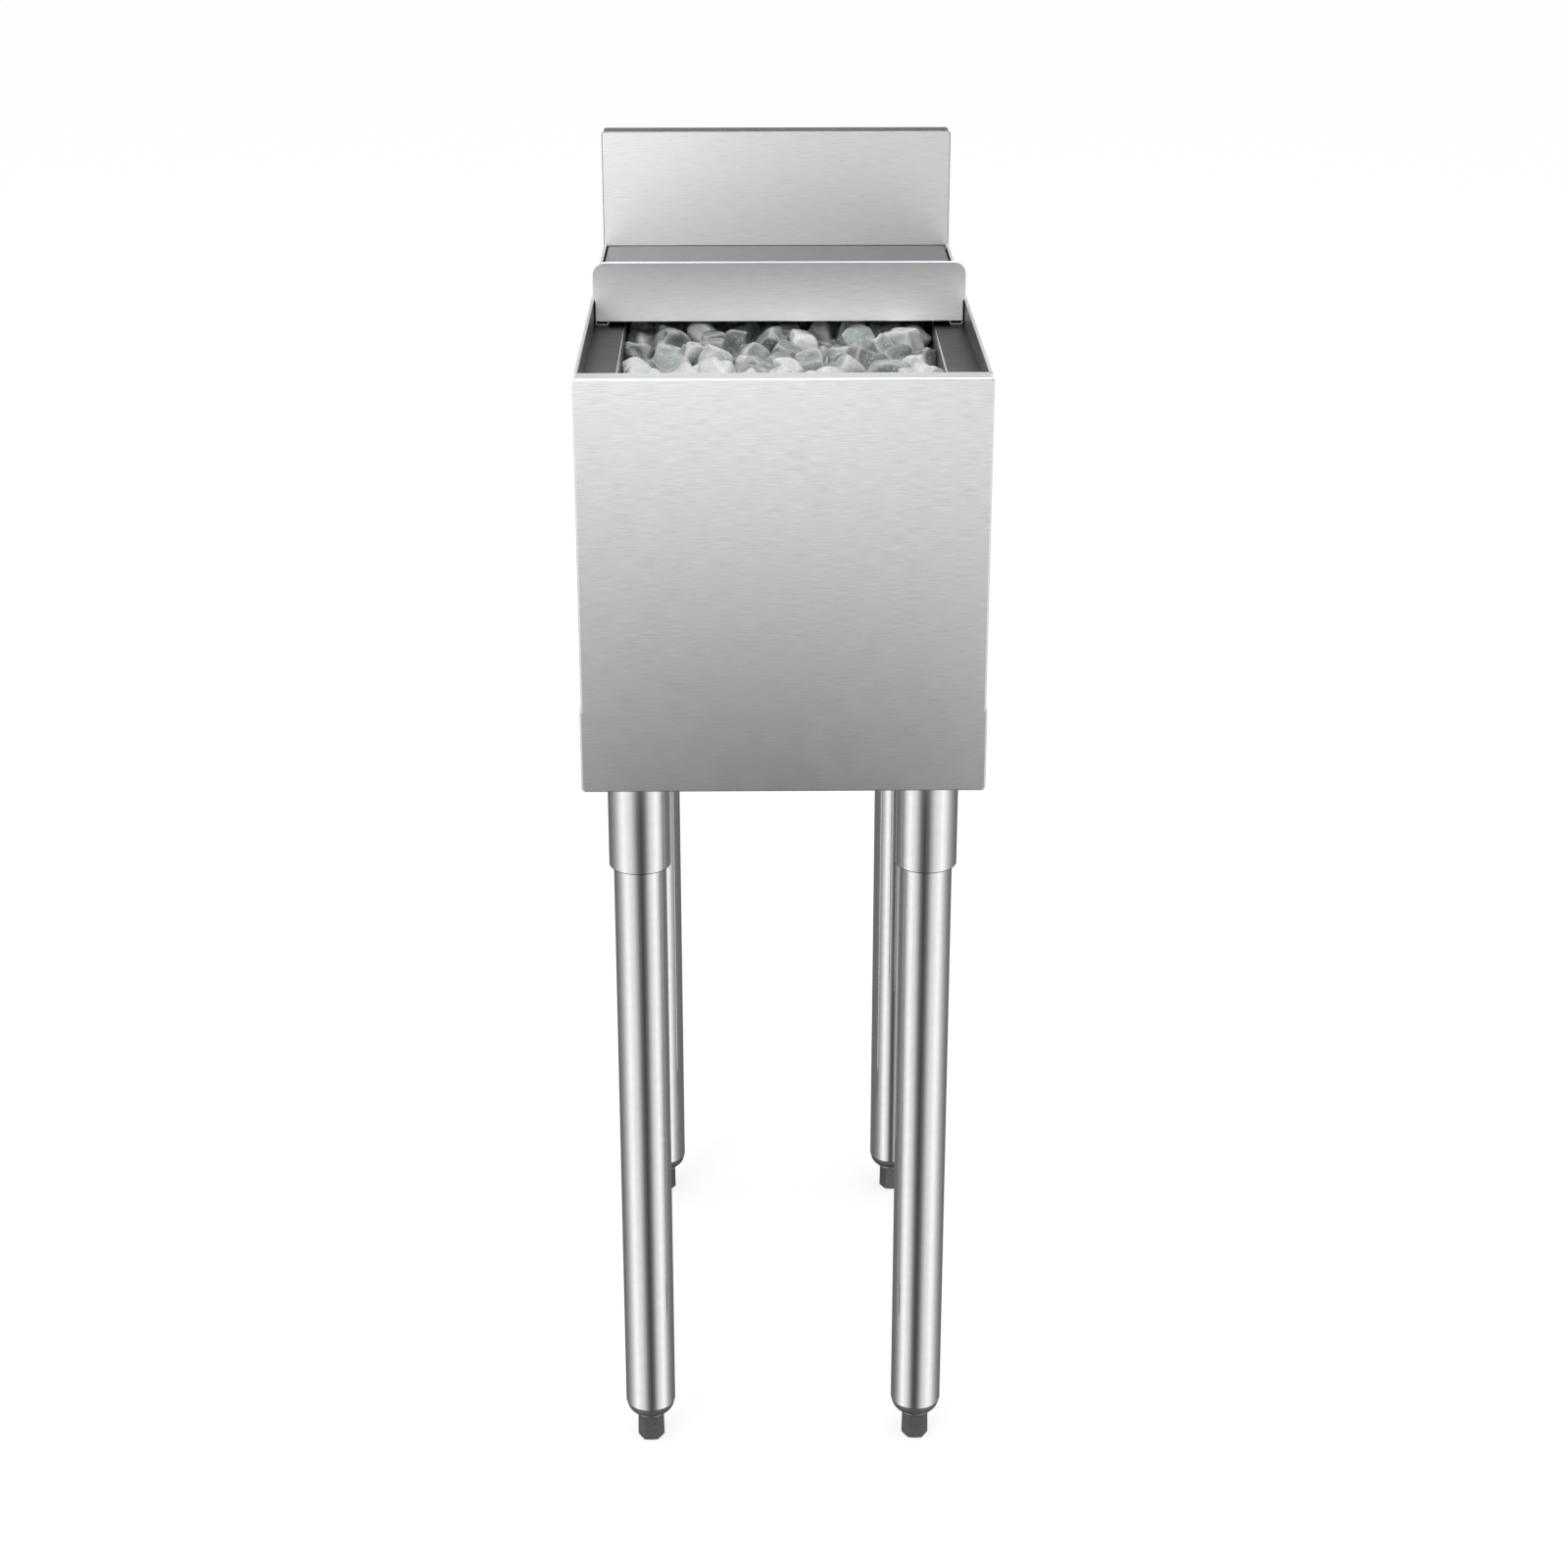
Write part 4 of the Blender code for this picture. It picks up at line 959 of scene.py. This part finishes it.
# The legs: polished tubes held in larger polished sockets under the base. Each socket is welded to a square
# plate that two bolts hold to the channel, and a hex set screw in its inner side grips the tube.
LEG_CORNERS = ("front_left", "front_right", "back_left", "back_right")
SOCKET_RADIUS = 0.02415
SOCKET_EDGE = 0.0009
SOCKET_FIT = 0.0003
TUBE_WALL = 0.0012
TUBE_EDGE = 0.0005
EDGE_STEPS = 5
PLATE_THICKNESS = 0.003
PLATE_EDGE = 0.0006
PLATE_EDGE_STEPS = 2
WELD_SIZE = 0.0032
WELD_RIPPLES = 34
WELD_RIPPLE_SHARE = 0.13
WELD_SIDES = 170
WELD_SECTION_SHARES = ((0, 1), (0.42, 0.72), (0.74, 0.40), (1, 0), (0, 0), (0, 1))
HEX_SIDES = 6
FLAT_STEPS = 8
HEX_FACE_SHARE = 0.94
CHAMFER_START_SHARE = 0.97
HEAD_CHAMFER = 0.55
SHANK_SIDES = 24
BOLT_SHANK = 0.003
BOLT_HEAD = 0.0056
BOLT_HEAD_HEIGHT = 0.004
SCREW_SHANK = 0.004
SCREW_HEAD = 0.0072
SCREW_HEAD_HEIGHT = 0.0055
LEG_ROUGHNESS = 0.085
# Painted shadow: a near-black steel for the socket's lower rim, drawing the dark line where the tube enters.
SOCKET_SHADOW_FINISH = ((0.035, 0.035, 0.036), (0.07, 0.07, 0.072), 0.45)
SOCKET_SHADOW_SLOPE = -0.05

leg_steel = polished_steel("polished_legs", LEG_ROUGHNESS, seed=7.0)
socket_shadow_steel = brushed_steel("painted_socket_shadow", SOCKET_SHADOW_FINISH, seed=8.0)


def capped(bm, rings):
    """A closed solid through rings of vertices, lowest first."""
    for near, far in zip(rings, rings[1:]):
        join_rings(bm, near, far)
    bm.faces.new(rings[0][::-1])
    bm.faces.new(rings[-1])


def hex_bar(bm, corner_radius, bottom, top, bottom_slope, top_slope, top_share=1.0):
    """A hexagonal bar along Z. A slope above zero turns an end off to a cone, as on a nut."""
    flat_radius = corner_radius * cos(pi / HEX_SIDES)
    count = HEX_SIDES * FLAT_STEPS
    turns = [2 * pi * number / HEX_SIDES for number in range(HEX_SIDES + 1)]
    corners = [Vector((cos(turn), sin(turn))) for turn in turns]

    def hexagon(height, slope, share):
        ring = []
        for index in range(count):
            side, step = divmod(index, FLAT_STEPS)
            point = corners[side].lerp(corners[side + 1], step / FLAT_STEPS) * corner_radius * share
            fall = max(0, point.length - flat_radius * share * CHAMFER_START_SHARE) * slope
            ring.append(bm.verts.new((*point, height + fall)))
        return ring

    def disc(height, share):
        radius = flat_radius * share * HEX_FACE_SHARE
        angles = [2 * pi * index / count for index in range(count)]
        return [bm.verts.new(around((0, 0), radius, angle, height)) for angle in angles]

    capped(bm, (
        disc(bottom, 1.0), hexagon(bottom, bottom_slope, 1.0),
        hexagon(top, -top_slope, top_share), disc(top, top_share),
    ))


def weld_into(bm, radius, height, centre):
    """A bead of weld in the corner between a tube and the plate above it, rippled along its length."""
    rows = []
    for side in range(WELD_SIDES + 1):
        angle = 2 * pi * side / WELD_SIDES
        size = WELD_SIZE * (1 + WELD_RIPPLE_SHARE * cos(angle * WELD_RIPPLES))
        section = [(radius + out * size, height - down * size) for out, down in WELD_SECTION_SHARES]
        rows.append([around(centre, reach, angle, z) for reach, z in section])
    strips(bm, rows)


def screw(name, shank, head, shank_ends, head_ends, slopes, place):
    """A hex screw along its own Z, then put in its place. The slopes turn off the head's low and high end."""
    bm = bmesh.new()
    hex_bar(bm, head, *head_ends, *slopes)
    low, high = shank_ends
    turn_into(bm, ((0, low), (shank, low), (shank, high), (0, high)), (0, 0), SHANK_SIDES)
    bm.transform(place)
    stand_for(closed_piece(name + "_hex", bm, zinc), name)


for corner in LEG_CORNERS:
    low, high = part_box("leg_socket_" + corner)
    tube_low, tube_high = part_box("leg_tube_" + corner)
    centre = ((tube_low.x + tube_high.x) / 2, (tube_low.y + tube_high.y) / 2)
    tube_radius = (tube_high.x - tube_low.x) / 2
    plate_foot = high.z - PLATE_THICKNESS
    bore = tube_radius + SOCKET_FIT
    section = rounded(
        ((bore, plate_foot), (bore, low.z), (SOCKET_RADIUS, low.z), (SOCKET_RADIUS, plate_foot)),
        SOCKET_EDGE, EDGE_STEPS,
    )
    bm = bmesh.new()
    turn_into(bm, section, centre)
    weld_into(bm, SOCKET_RADIUS - SOCKET_FIT, plate_foot, centre)
    bmesh.ops.remove_doubles(bm, verts=bm.verts, dist=SAME_POINT / 10)
    plate = bmesh.ops.create_cube(bm, size=1)["verts"]
    bmesh.ops.scale(bm, verts=plate, vec=(high.x - low.x, high.y - low.y, PLATE_THICKNESS))
    plate_middle = ((high.x + low.x) / 2, (high.y + low.y) / 2, high.z - PLATE_THICKNESS / 2)
    bmesh.ops.translate(bm, verts=plate, vec=plate_middle)
    edges = {edge for vertex in plate for edge in vertex.link_edges}
    round_over(bm, list(edges), PLATE_EDGE, PLATE_EDGE_STEPS)
    socket = closed_piece("socket_" + corner, bm, leg_steel)
    socket_shadow_top = low.z + SOCKET_EDGE
    # The socket's lower rounded edge gets the painted shadow line.
    repaint(socket, socket_shadow_steel, lambda middle, normal: middle.z < socket_shadow_top and normal.z < SOCKET_SHADOW_SLOPE)
    stand_for(socket, "leg_socket_" + corner)

    inner = tube_radius - TUBE_WALL
    section = rounded(
        ((inner, tube_high.z), (inner, tube_low.z), (tube_radius, tube_low.z), (tube_radius, tube_high.z)),
        TUBE_EDGE, EDGE_STEPS,
    )
    tube = turned("tube_" + corner, section, centre, leg_steel)
    stand_for(tube, "leg_tube_" + corner)

    for number in ("1", "2"):
        name = "socket_bolt_" + corner + "_" + number
        low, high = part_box(name)
        place = Matrix.Translation(((low.x + high.x) / 2, (low.y + high.y) / 2, 0))
        neck = low.z + BOLT_HEAD_HEIGHT
        screw(name, BOLT_SHANK, BOLT_HEAD, (neck, high.z), (low.z, neck), (HEAD_CHAMFER, 0), place)

    name = "set_screw_" + corner
    low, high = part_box(name)
    facing = 1 if (low.y + high.y) / 2 > centre[1] else -1
    start = min(abs(low.y - centre[1]), abs(high.y - centre[1]))
    end = max(abs(low.y - centre[1]), abs(high.y - centre[1]))
    outwards = Matrix.Rotation(-facing * pi / 2, 4, "X")
    place = Matrix.Translation((*centre, (low.z + high.z) / 2)) @ outwards
    neck = end - SCREW_HEAD_HEIGHT
    screw(name, SCREW_SHANK, SCREW_HEAD, (start, neck), (neck, end), (0, HEAD_CHAMFER), place)

# The feet: a blackened insert in each tube's lower end tapers to a bright-edged mouth, and a hexagonal
# foot on a threaded stem screws up into it to level the bin.
INSERT_PLUG = 0.030
INSERT_SWEEP = radians(72)
INSERT_STEPS = 12
MOUTH_RADIUS = 0.0136
MOUTH_LIP = 0.0016
MOUTH_BEAD = 0.0002
MOUTH_EASE = 0.0004
LIGHT_LIP_SHARE = 1.6
STEM_RADIUS = 0.006
THREAD_PITCH = 0.00175
THREAD_DEPTH = 0.0009
THREAD_STEPS = 6
THREAD_SIDES = 24
FOOT_SLOPE = 0.25
FOOT_TOP_SHARE = 0.97
BLACK_DARK = (0.22, 0.22, 0.223, 1)
BLACK_PALE = (0.32, 0.32, 0.323, 1)
BLACK_GLOSSY = 0.56
BLACK_DULL = 0.68
BLACK_MARK_SIZE = 0.008
GRIT_PER_METRE = 1400.0
GRIT_RELIEF = 0.00004
MOUTH_FINISH = ((0.50, 0.50, 0.50), (0.62, 0.62, 0.62), 0.34)

cast_steel, tree = plain_material("blackened_steel")
mark = node(tree, "Group", BLACK_MARK_SIZE, 11.0, node_tree=smudge).outputs[0]
grit = noise(tree, own_place(tree), GRIT_PER_METRE, 3.0)
surface(
    tree, Base_Color=mix_colour(tree, mark, BLACK_DARK, BLACK_PALE), Metallic=1.0,
    Roughness=mix_value(tree, mark, BLACK_GLOSSY, BLACK_DULL), Normal=relief(tree, grit, GRIT_RELIEF),
)
light_lip_steel = brushed_steel("light_mouth_lip", MOUTH_FINISH, seed=12.0)


def thread_into(bm, radius, bottom, top):
    """A stem with a screw thread, closed at its ends."""
    count = int((top - bottom) / THREAD_PITCH * THREAD_STEPS)
    rings = []
    for step in range(count + 1):
        height = bottom + (top - bottom) * step / count
        ring = []
        for side in range(THREAD_SIDES):
            phase = (height / THREAD_PITCH - side / THREAD_SIDES) % 1
            reach = radius - THREAD_DEPTH * abs(2 * phase - 1)
            ring.append(bm.verts.new(around((0, 0), reach, 2 * pi * side / THREAD_SIDES, height)))
        rings.append(ring)
    capped(bm, rings)


for corner in LEG_CORNERS:
    low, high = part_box("leg_insert_" + corner)
    foot_low, foot_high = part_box("foot_" + corner)
    tube_low, tube_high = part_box("leg_tube_" + corner)
    centre = ((tube_low.x + tube_high.x) / 2, (tube_low.y + tube_high.y) / 2)
    shoulder = high.z - INSERT_PLUG - SOCKET_FIT
    widest = (high.x - low.x) / 2
    plug = (tube_high.x - tube_low.x) / 2 - TUBE_WALL - SOCKET_FIT
    bore = STEM_RADIUS + SOCKET_FIT
    outline = [(bore, high.z), (plug, high.z), (plug, shoulder)]
    for step in range(INSERT_STEPS + 1):
        angle = INSERT_SWEEP * step / INSERT_STEPS
        taper = (cos(angle) - cos(INSERT_SWEEP)) / (1 - cos(INSERT_SWEEP))
        drop = (shoulder - low.z - MOUTH_LIP) * sin(angle) / sin(INSERT_SWEEP)
        outline.append((MOUTH_RADIUS + (widest - MOUTH_RADIUS) * taper, shoulder - drop))
    outline.append((MOUTH_RADIUS + MOUTH_BEAD, low.z + MOUTH_LIP / 2))
    outline += [(MOUTH_RADIUS - MOUTH_EASE, low.z), (bore, low.z)]
    insert = turned("insert_" + corner, outline, centre, cast_steel)
    light_lip_top = low.z + MOUTH_LIP * LIGHT_LIP_SHARE
    # The lower lip of each mouth is coloured lighter than the rest of the insert.
    repaint(insert, light_lip_steel, lambda middle, normal: middle.z < light_lip_top and normal.z > -STRAIGHT)
    stand_for(insert, "leg_insert_" + corner)

    foot_top = low.z - SOCKET_FIT
    bm = bmesh.new()
    hex_bar(bm, (foot_high.x - foot_low.x) / 2, foot_low.z, foot_top, FOOT_SLOPE, 0, FOOT_TOP_SHARE)
    thread_into(bm, STEM_RADIUS, foot_top - THREAD_PITCH, foot_high.z)
    bm.transform(Matrix.Translation((*centre, 0)))
    stand_for(closed_piece("hex_foot_" + corner, bm, cast_steel), "foot_" + corner)

# The ice: lumps of clear and cloudy ice in the well. Each lump is a cube broken along flat faces, with its
# edges melted round and frosted white, a white that is also a painted highlight. They lie in two layers on a
# bed of packed ice that fills the well.
ICE_SEED = 7
ICE_SHAPES = 16
ICE_BREAKS = 9
ICE_SIDE_SHARES = (0.74, 0.98)
ICE_BREAK_SHARES = (0.68, 0.90)
ICE_ROUNDNESS = 7
ICE_WAVES = 3.0
ICE_WAVE_STARTS = 6
ICE_WAVE_SHARE = 0.045
ICE_FINENESS = 5
ICE_FINENESS_UNSEEN = 3
ICE_SEEN_END = 0.03
ICE_TRIES = 3000
ICE_ROW_TRIES = 80
ICE_ROW = -0.008
ICE_SMALL = 0.0125
ICE_LARGE = 0.0195
ICE_CLEARANCE = 0.0008
NEARLY_NOTHING = 1e-9
ICE_NEST_SHARE = 0.80
ICE_WALL_SHARE = 0.75
ICE_SINK_SHARE = 0.92
ICE_TOP = 0.9050
ICE_LAYERS = (0.0, 0.014)
ICE_DROOP = 0.009
EDGE_WHITE_SHARE = 0.095
EDGE_WHITE_POWER = 2.6
CLEAR_CLOUDY_SHARES = (0.55, 0.45)
WHITE_SHARE = 0.08
WHITE_FRONT_SHARE = 0.85
WHITE_FRONT = -0.135
WHITE_FADE = 0.060
WHITE_BACK_SHARE = 0.15
WHITE_BACK = -0.012
ICE_CLOUDS_PER_METRE = 70.0
ICE_FLAKES_PER_METRE = 520.0
ICE_MIST = (0.46, 0.60)
ICE_CRACKS_PER_METRE = 120.0
ICE_CRACK_WIDTH = 0.05
ICE_CRACK_SHARE = 0.4
ICE_CRACK_TURNS_PER_METRE = 150.0
ICE_CRACK_TURN = 0.006
ICE_RIM_SHARE = 0.85
ICE_RIM_FLAKE_SHARE = 0.3
ICE_PITS_PER_METRE = 420.0
ICE_PIT_SHARE = 0.6
ICE_DENTS_PER_METRE = 80.0
ICE_RELIEF = 0.0034
ICE_BENDING = 1.5
ICE_KINDS = (
    ("clear_ice", 0.50, (0.27, 0.345, 0.335, 1), 0.04, 0.20),
    ("cloudy_ice", 0.25, (0.37, 0.450, 0.440, 1), 0.06, 0.26),
    ("white_ice", 0.08, (0.90, 0.945, 0.945, 1), 0.12, 0.32),
    ("packed_ice", 0.0, (0.74, 0.81, 0.80, 1), 0.40, 0.60),
)

ice_kinds = []
for name, clearness, deep, smoothest, roughest in ICE_KINDS:
    made, tree = plain_material(name)
    spot = own_place(tree)
    edge = node(tree, "Attribute", attribute_name="frost_and_highlight").outputs["Fac"]
    cloud = spread(tree, noise(tree, spot, ICE_CLOUDS_PER_METRE, detail=5.0, roughness=0.62), *ICE_MIST)
    flake = spread(tree, noise(tree, spot, ICE_FLAKES_PER_METRE, detail=3.0, roughness=0.7), *ICE_MIST)
    turns = feed(tree, node(tree, "TexNoise", spot), Scale=ICE_CRACK_TURNS_PER_METRE, Detail=3.0)
    turns = node(tree, "VectorMath", turns.outputs["Color"], operation="SCALE")
    turns = feed(tree, turns, Scale=ICE_CRACK_TURN).outputs[0]
    turned_spot = node(tree, "VectorMath", spot, turns).outputs[0]
    cells = node(tree, "TexVoronoi", turned_spot, feature="DISTANCE_TO_EDGE")
    crack = feed(tree, cells, Scale=ICE_CRACKS_PER_METRE).outputs[0]
    crack = spread(tree, crack, 0.0, ICE_CRACK_WIDTH, 1.0, 0.0)
    # The rims take the painted highlight along with the frost.
    rim = maths(tree, "ADD", ICE_RIM_SHARE, maths(tree, "MULTIPLY", flake, ICE_RIM_FLAKE_SHARE))
    rim = maths(tree, "MULTIPLY", edge, rim)
    frost_and_highlight = maths(tree, "MULTIPLY", crack, ICE_CRACK_SHARE)
    frost_and_highlight = maths(tree, "MAXIMUM", frost_and_highlight, maths(tree, "MULTIPLY", cloud, flake))
    frost_and_highlight = maths(tree, "MINIMUM", maths(tree, "MAXIMUM", frost_and_highlight, rim), 1.0)
    pits = noise(tree, spot, ICE_PITS_PER_METRE, detail=4.0, roughness=0.8)
    dents = noise(tree, spot, ICE_DENTS_PER_METRE, detail=2.0)
    height = maths(tree, "ADD", dents, maths(tree, "MULTIPLY", pits, ICE_PIT_SHARE))
    surface(
        tree, Base_Color=mix_colour(tree, frost_and_highlight, deep, WHITE), Transmission_Weight=clearness,
        IOR=ICE_BENDING, Coat_Weight=1.0, Roughness=mix_value(tree, frost_and_highlight, smoothest, roughest),
        Normal=relief(tree, height, ICE_RELIEF),
    )
    ice_kinds.append(made)

draw = np.random.default_rng(ICE_SEED)


def ball(fineness):
    """The points and the faces of a ball of unit size."""
    bm = bmesh.new()
    bmesh.ops.create_icosphere(bm, subdivisions=fineness, radius=1)
    points = np.array([vertex.co for vertex in bm.verts])
    faces = np.array([[vertex.index for vertex in face.verts] for face in bm.faces])
    bm.free()
    return points, faces


def broken_cube():
    """The flat sides of a lump of unit size, as directions divided by their distances."""
    sides = np.vstack((np.eye(3), -np.eye(3)))
    reaches = np.tile(draw.uniform(*ICE_SIDE_SHARES, 3), 2)
    breaks = draw.normal(size=(ICE_BREAKS, 3))
    breaks /= np.linalg.norm(breaks, axis=1)[:, None]
    corner = np.abs(breaks) @ reaches[:3]
    depths = corner * draw.uniform(*ICE_BREAK_SHARES, ICE_BREAKS)
    return np.vstack((sides / reaches[:, None], breaks / depths[:, None]))


def melted(flats, ways):
    """A lump's points, edges melted round, and its frost and painted highlight: most at edges, none on flats.
    """
    crossing = np.clip(ways @ flats.T, 0, None)
    reach = (crossing ** ICE_ROUNDNESS).sum(axis=1) ** (-1 / ICE_ROUNDNESS)
    frost_and_highlight = 1 - reach * crossing.max(axis=1)
    return ways * reach[:, None], np.clip(frost_and_highlight / EDGE_WHITE_SHARE, 0, 1) ** EDGE_WHITE_POWER


def within_well(points):
    """Press points back inside the well's wall, round its corners."""
    middle = np.array((0, (well_front + well_back) / 2))
    reach = np.array((well_half, (well_back - well_front) / 2)) - ICE_CLEARANCE
    away = points[:, :2] - middle
    side = np.sign(away)
    past = np.abs(away) - (reach - WELL_CORNER)
    length = np.hypot(*np.clip(past, NEARLY_NOTHING, None).T)
    shrink = np.minimum(1, WELL_CORNER / length)[:, None]
    past = np.where(past > 0, past * shrink, past)
    points[:, :2] = middle + side * (past + reach - WELL_CORNER)
    return points


shapes = [broken_cube() for _ in range(ICE_SHAPES)]
fine_ball = ball(ICE_FINENESS)
coarse_ball = ball(ICE_FINENESS_UNSEEN)
all_points = []
all_faces = []
frosts_and_highlights = []
kinds = []
count = 0
for drop in ICE_LAYERS:
    centres = np.empty((0, 2))
    sizes = np.empty(0)
    for attempt in range(ICE_TRIES):
        size = draw.uniform(ICE_SMALL, ICE_LARGE)
        wall = size * ICE_WALL_SHARE
        centre = draw.uniform((wall - well_half, well_front + wall), (well_half - wall, well_back - wall))
        droop = draw.uniform(0, ICE_DROOP)
        if attempt < ICE_ROW_TRIES:
            centre[1] = ICE_ROW
            droop = 0
        if (np.hypot(*(centres - centre).T) < (size + sizes) * ICE_NEST_SHARE).any():
            continue
        centres = np.vstack((centres, centre))
        sizes = np.append(sizes, size)
        seen = drop == 0 and centre[1] < ICE_SEEN_END
        ways, lump_faces = fine_ball if seen else coarse_ball
        points, frost_and_highlight = melted(shapes[draw.integers(ICE_SHAPES)], ways)
        spin, _ = np.linalg.qr(draw.normal(size=(3, 3)))
        spin *= np.sign(np.linalg.det(spin))
        waves = points @ draw.normal(size=(3, 3)) * ICE_WAVES + draw.uniform(0, ICE_WAVE_STARTS, 3)
        swell = 1 + ICE_WAVE_SHARE * np.sin(waves).sum(axis=1)
        points = (points * swell[:, None]) @ spin * size
        points += (*centre, ICE_TOP - drop - size * ICE_SINK_SHARE - droop)
        points[:, 2] = np.minimum(points[:, 2], ICE_TOP)
        all_points.append(within_well(points))
        all_faces.append(lump_faces + count)
        frosts_and_highlights.append(frost_and_highlight)
        # Painted light: white lumps go more often to the lit front and to the back row in the lid's shade.
        white = WHITE_SHARE + WHITE_FRONT_SHARE * np.clip(1 - (centre[1] - WHITE_FRONT) / WHITE_FADE, 0, 1)
        white += WHITE_BACK_SHARE * (centre[1] > WHITE_BACK)
        chances = [share * (1 - white) for share in CLEAR_CLOUDY_SHARES] + [white]
        kind = draw.choice(len(chances), p=chances)
        kinds += [kind] * len(lump_faces)
        count += len(points)

mesh = bpy.data.meshes.new("ice_lumps")
mesh.from_pydata(np.vstack(all_points).tolist(), [], np.vstack(all_faces).tolist())
for kind in ice_kinds:
    mesh.materials.append(kind)
mesh.polygons.foreach_set("material_index", kinds)
mesh.attributes.new("frost_and_highlight", "FLOAT", "POINT").data.foreach_set("value", np.concatenate(frosts_and_highlights))
mesh.shade_smooth()
lumps = bpy.data.objects.new("ice_lumps", mesh)
bpy.context.scene.collection.objects.link(lumps)
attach(lumps, "root")

# The bed: packed ice that fills the well below the lumps, from just over the liner's coved floor to a flat
# top, which shows white in the gaps between the lumps.
BED_DROP = 0.040
BED_FLOOR_CLEARANCE = 0.0016
BED_TOP_SHARES = (0.05, 0.25, 0.5, 0.75, 1.0)

bm = bmesh.new()
rings = []
for share in BED_TOP_SHARES:
    half = (well_half - ICE_CLEARANCE) * share
    front_end = drain_y + (well_front + ICE_CLEARANCE - drain_y) * share
    back_end = drain_y + (well_back - ICE_CLEARANCE - drain_y) * share
    rings.append(corner_ring(half, front_end, back_end, WELL_CORNER * share, ICE_TOP - BED_DROP))
for step in range(COVE_STEPS + 1):
    angle = pi / 2 * step / COVE_STEPS
    inset = ICE_CLEARANCE + WELL_COVE * (1 - cos(angle))
    height = well_floor + BED_FLOOR_CLEARANCE + WELL_COVE * (1 - sin(angle))
    rings.append(well_ring(-inset, height))
strips(bm, [[*ring, ring[0]] for ring in rings])
bmesh.ops.remove_doubles(bm, verts=bm.verts, dist=SAME_POINT)
bmesh.ops.holes_fill(bm, edges=[edge for edge in bm.edges if edge.is_boundary])
bed = closed_piece("ice_bed", bm, ice_kinds[-1])
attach(bed, "root")
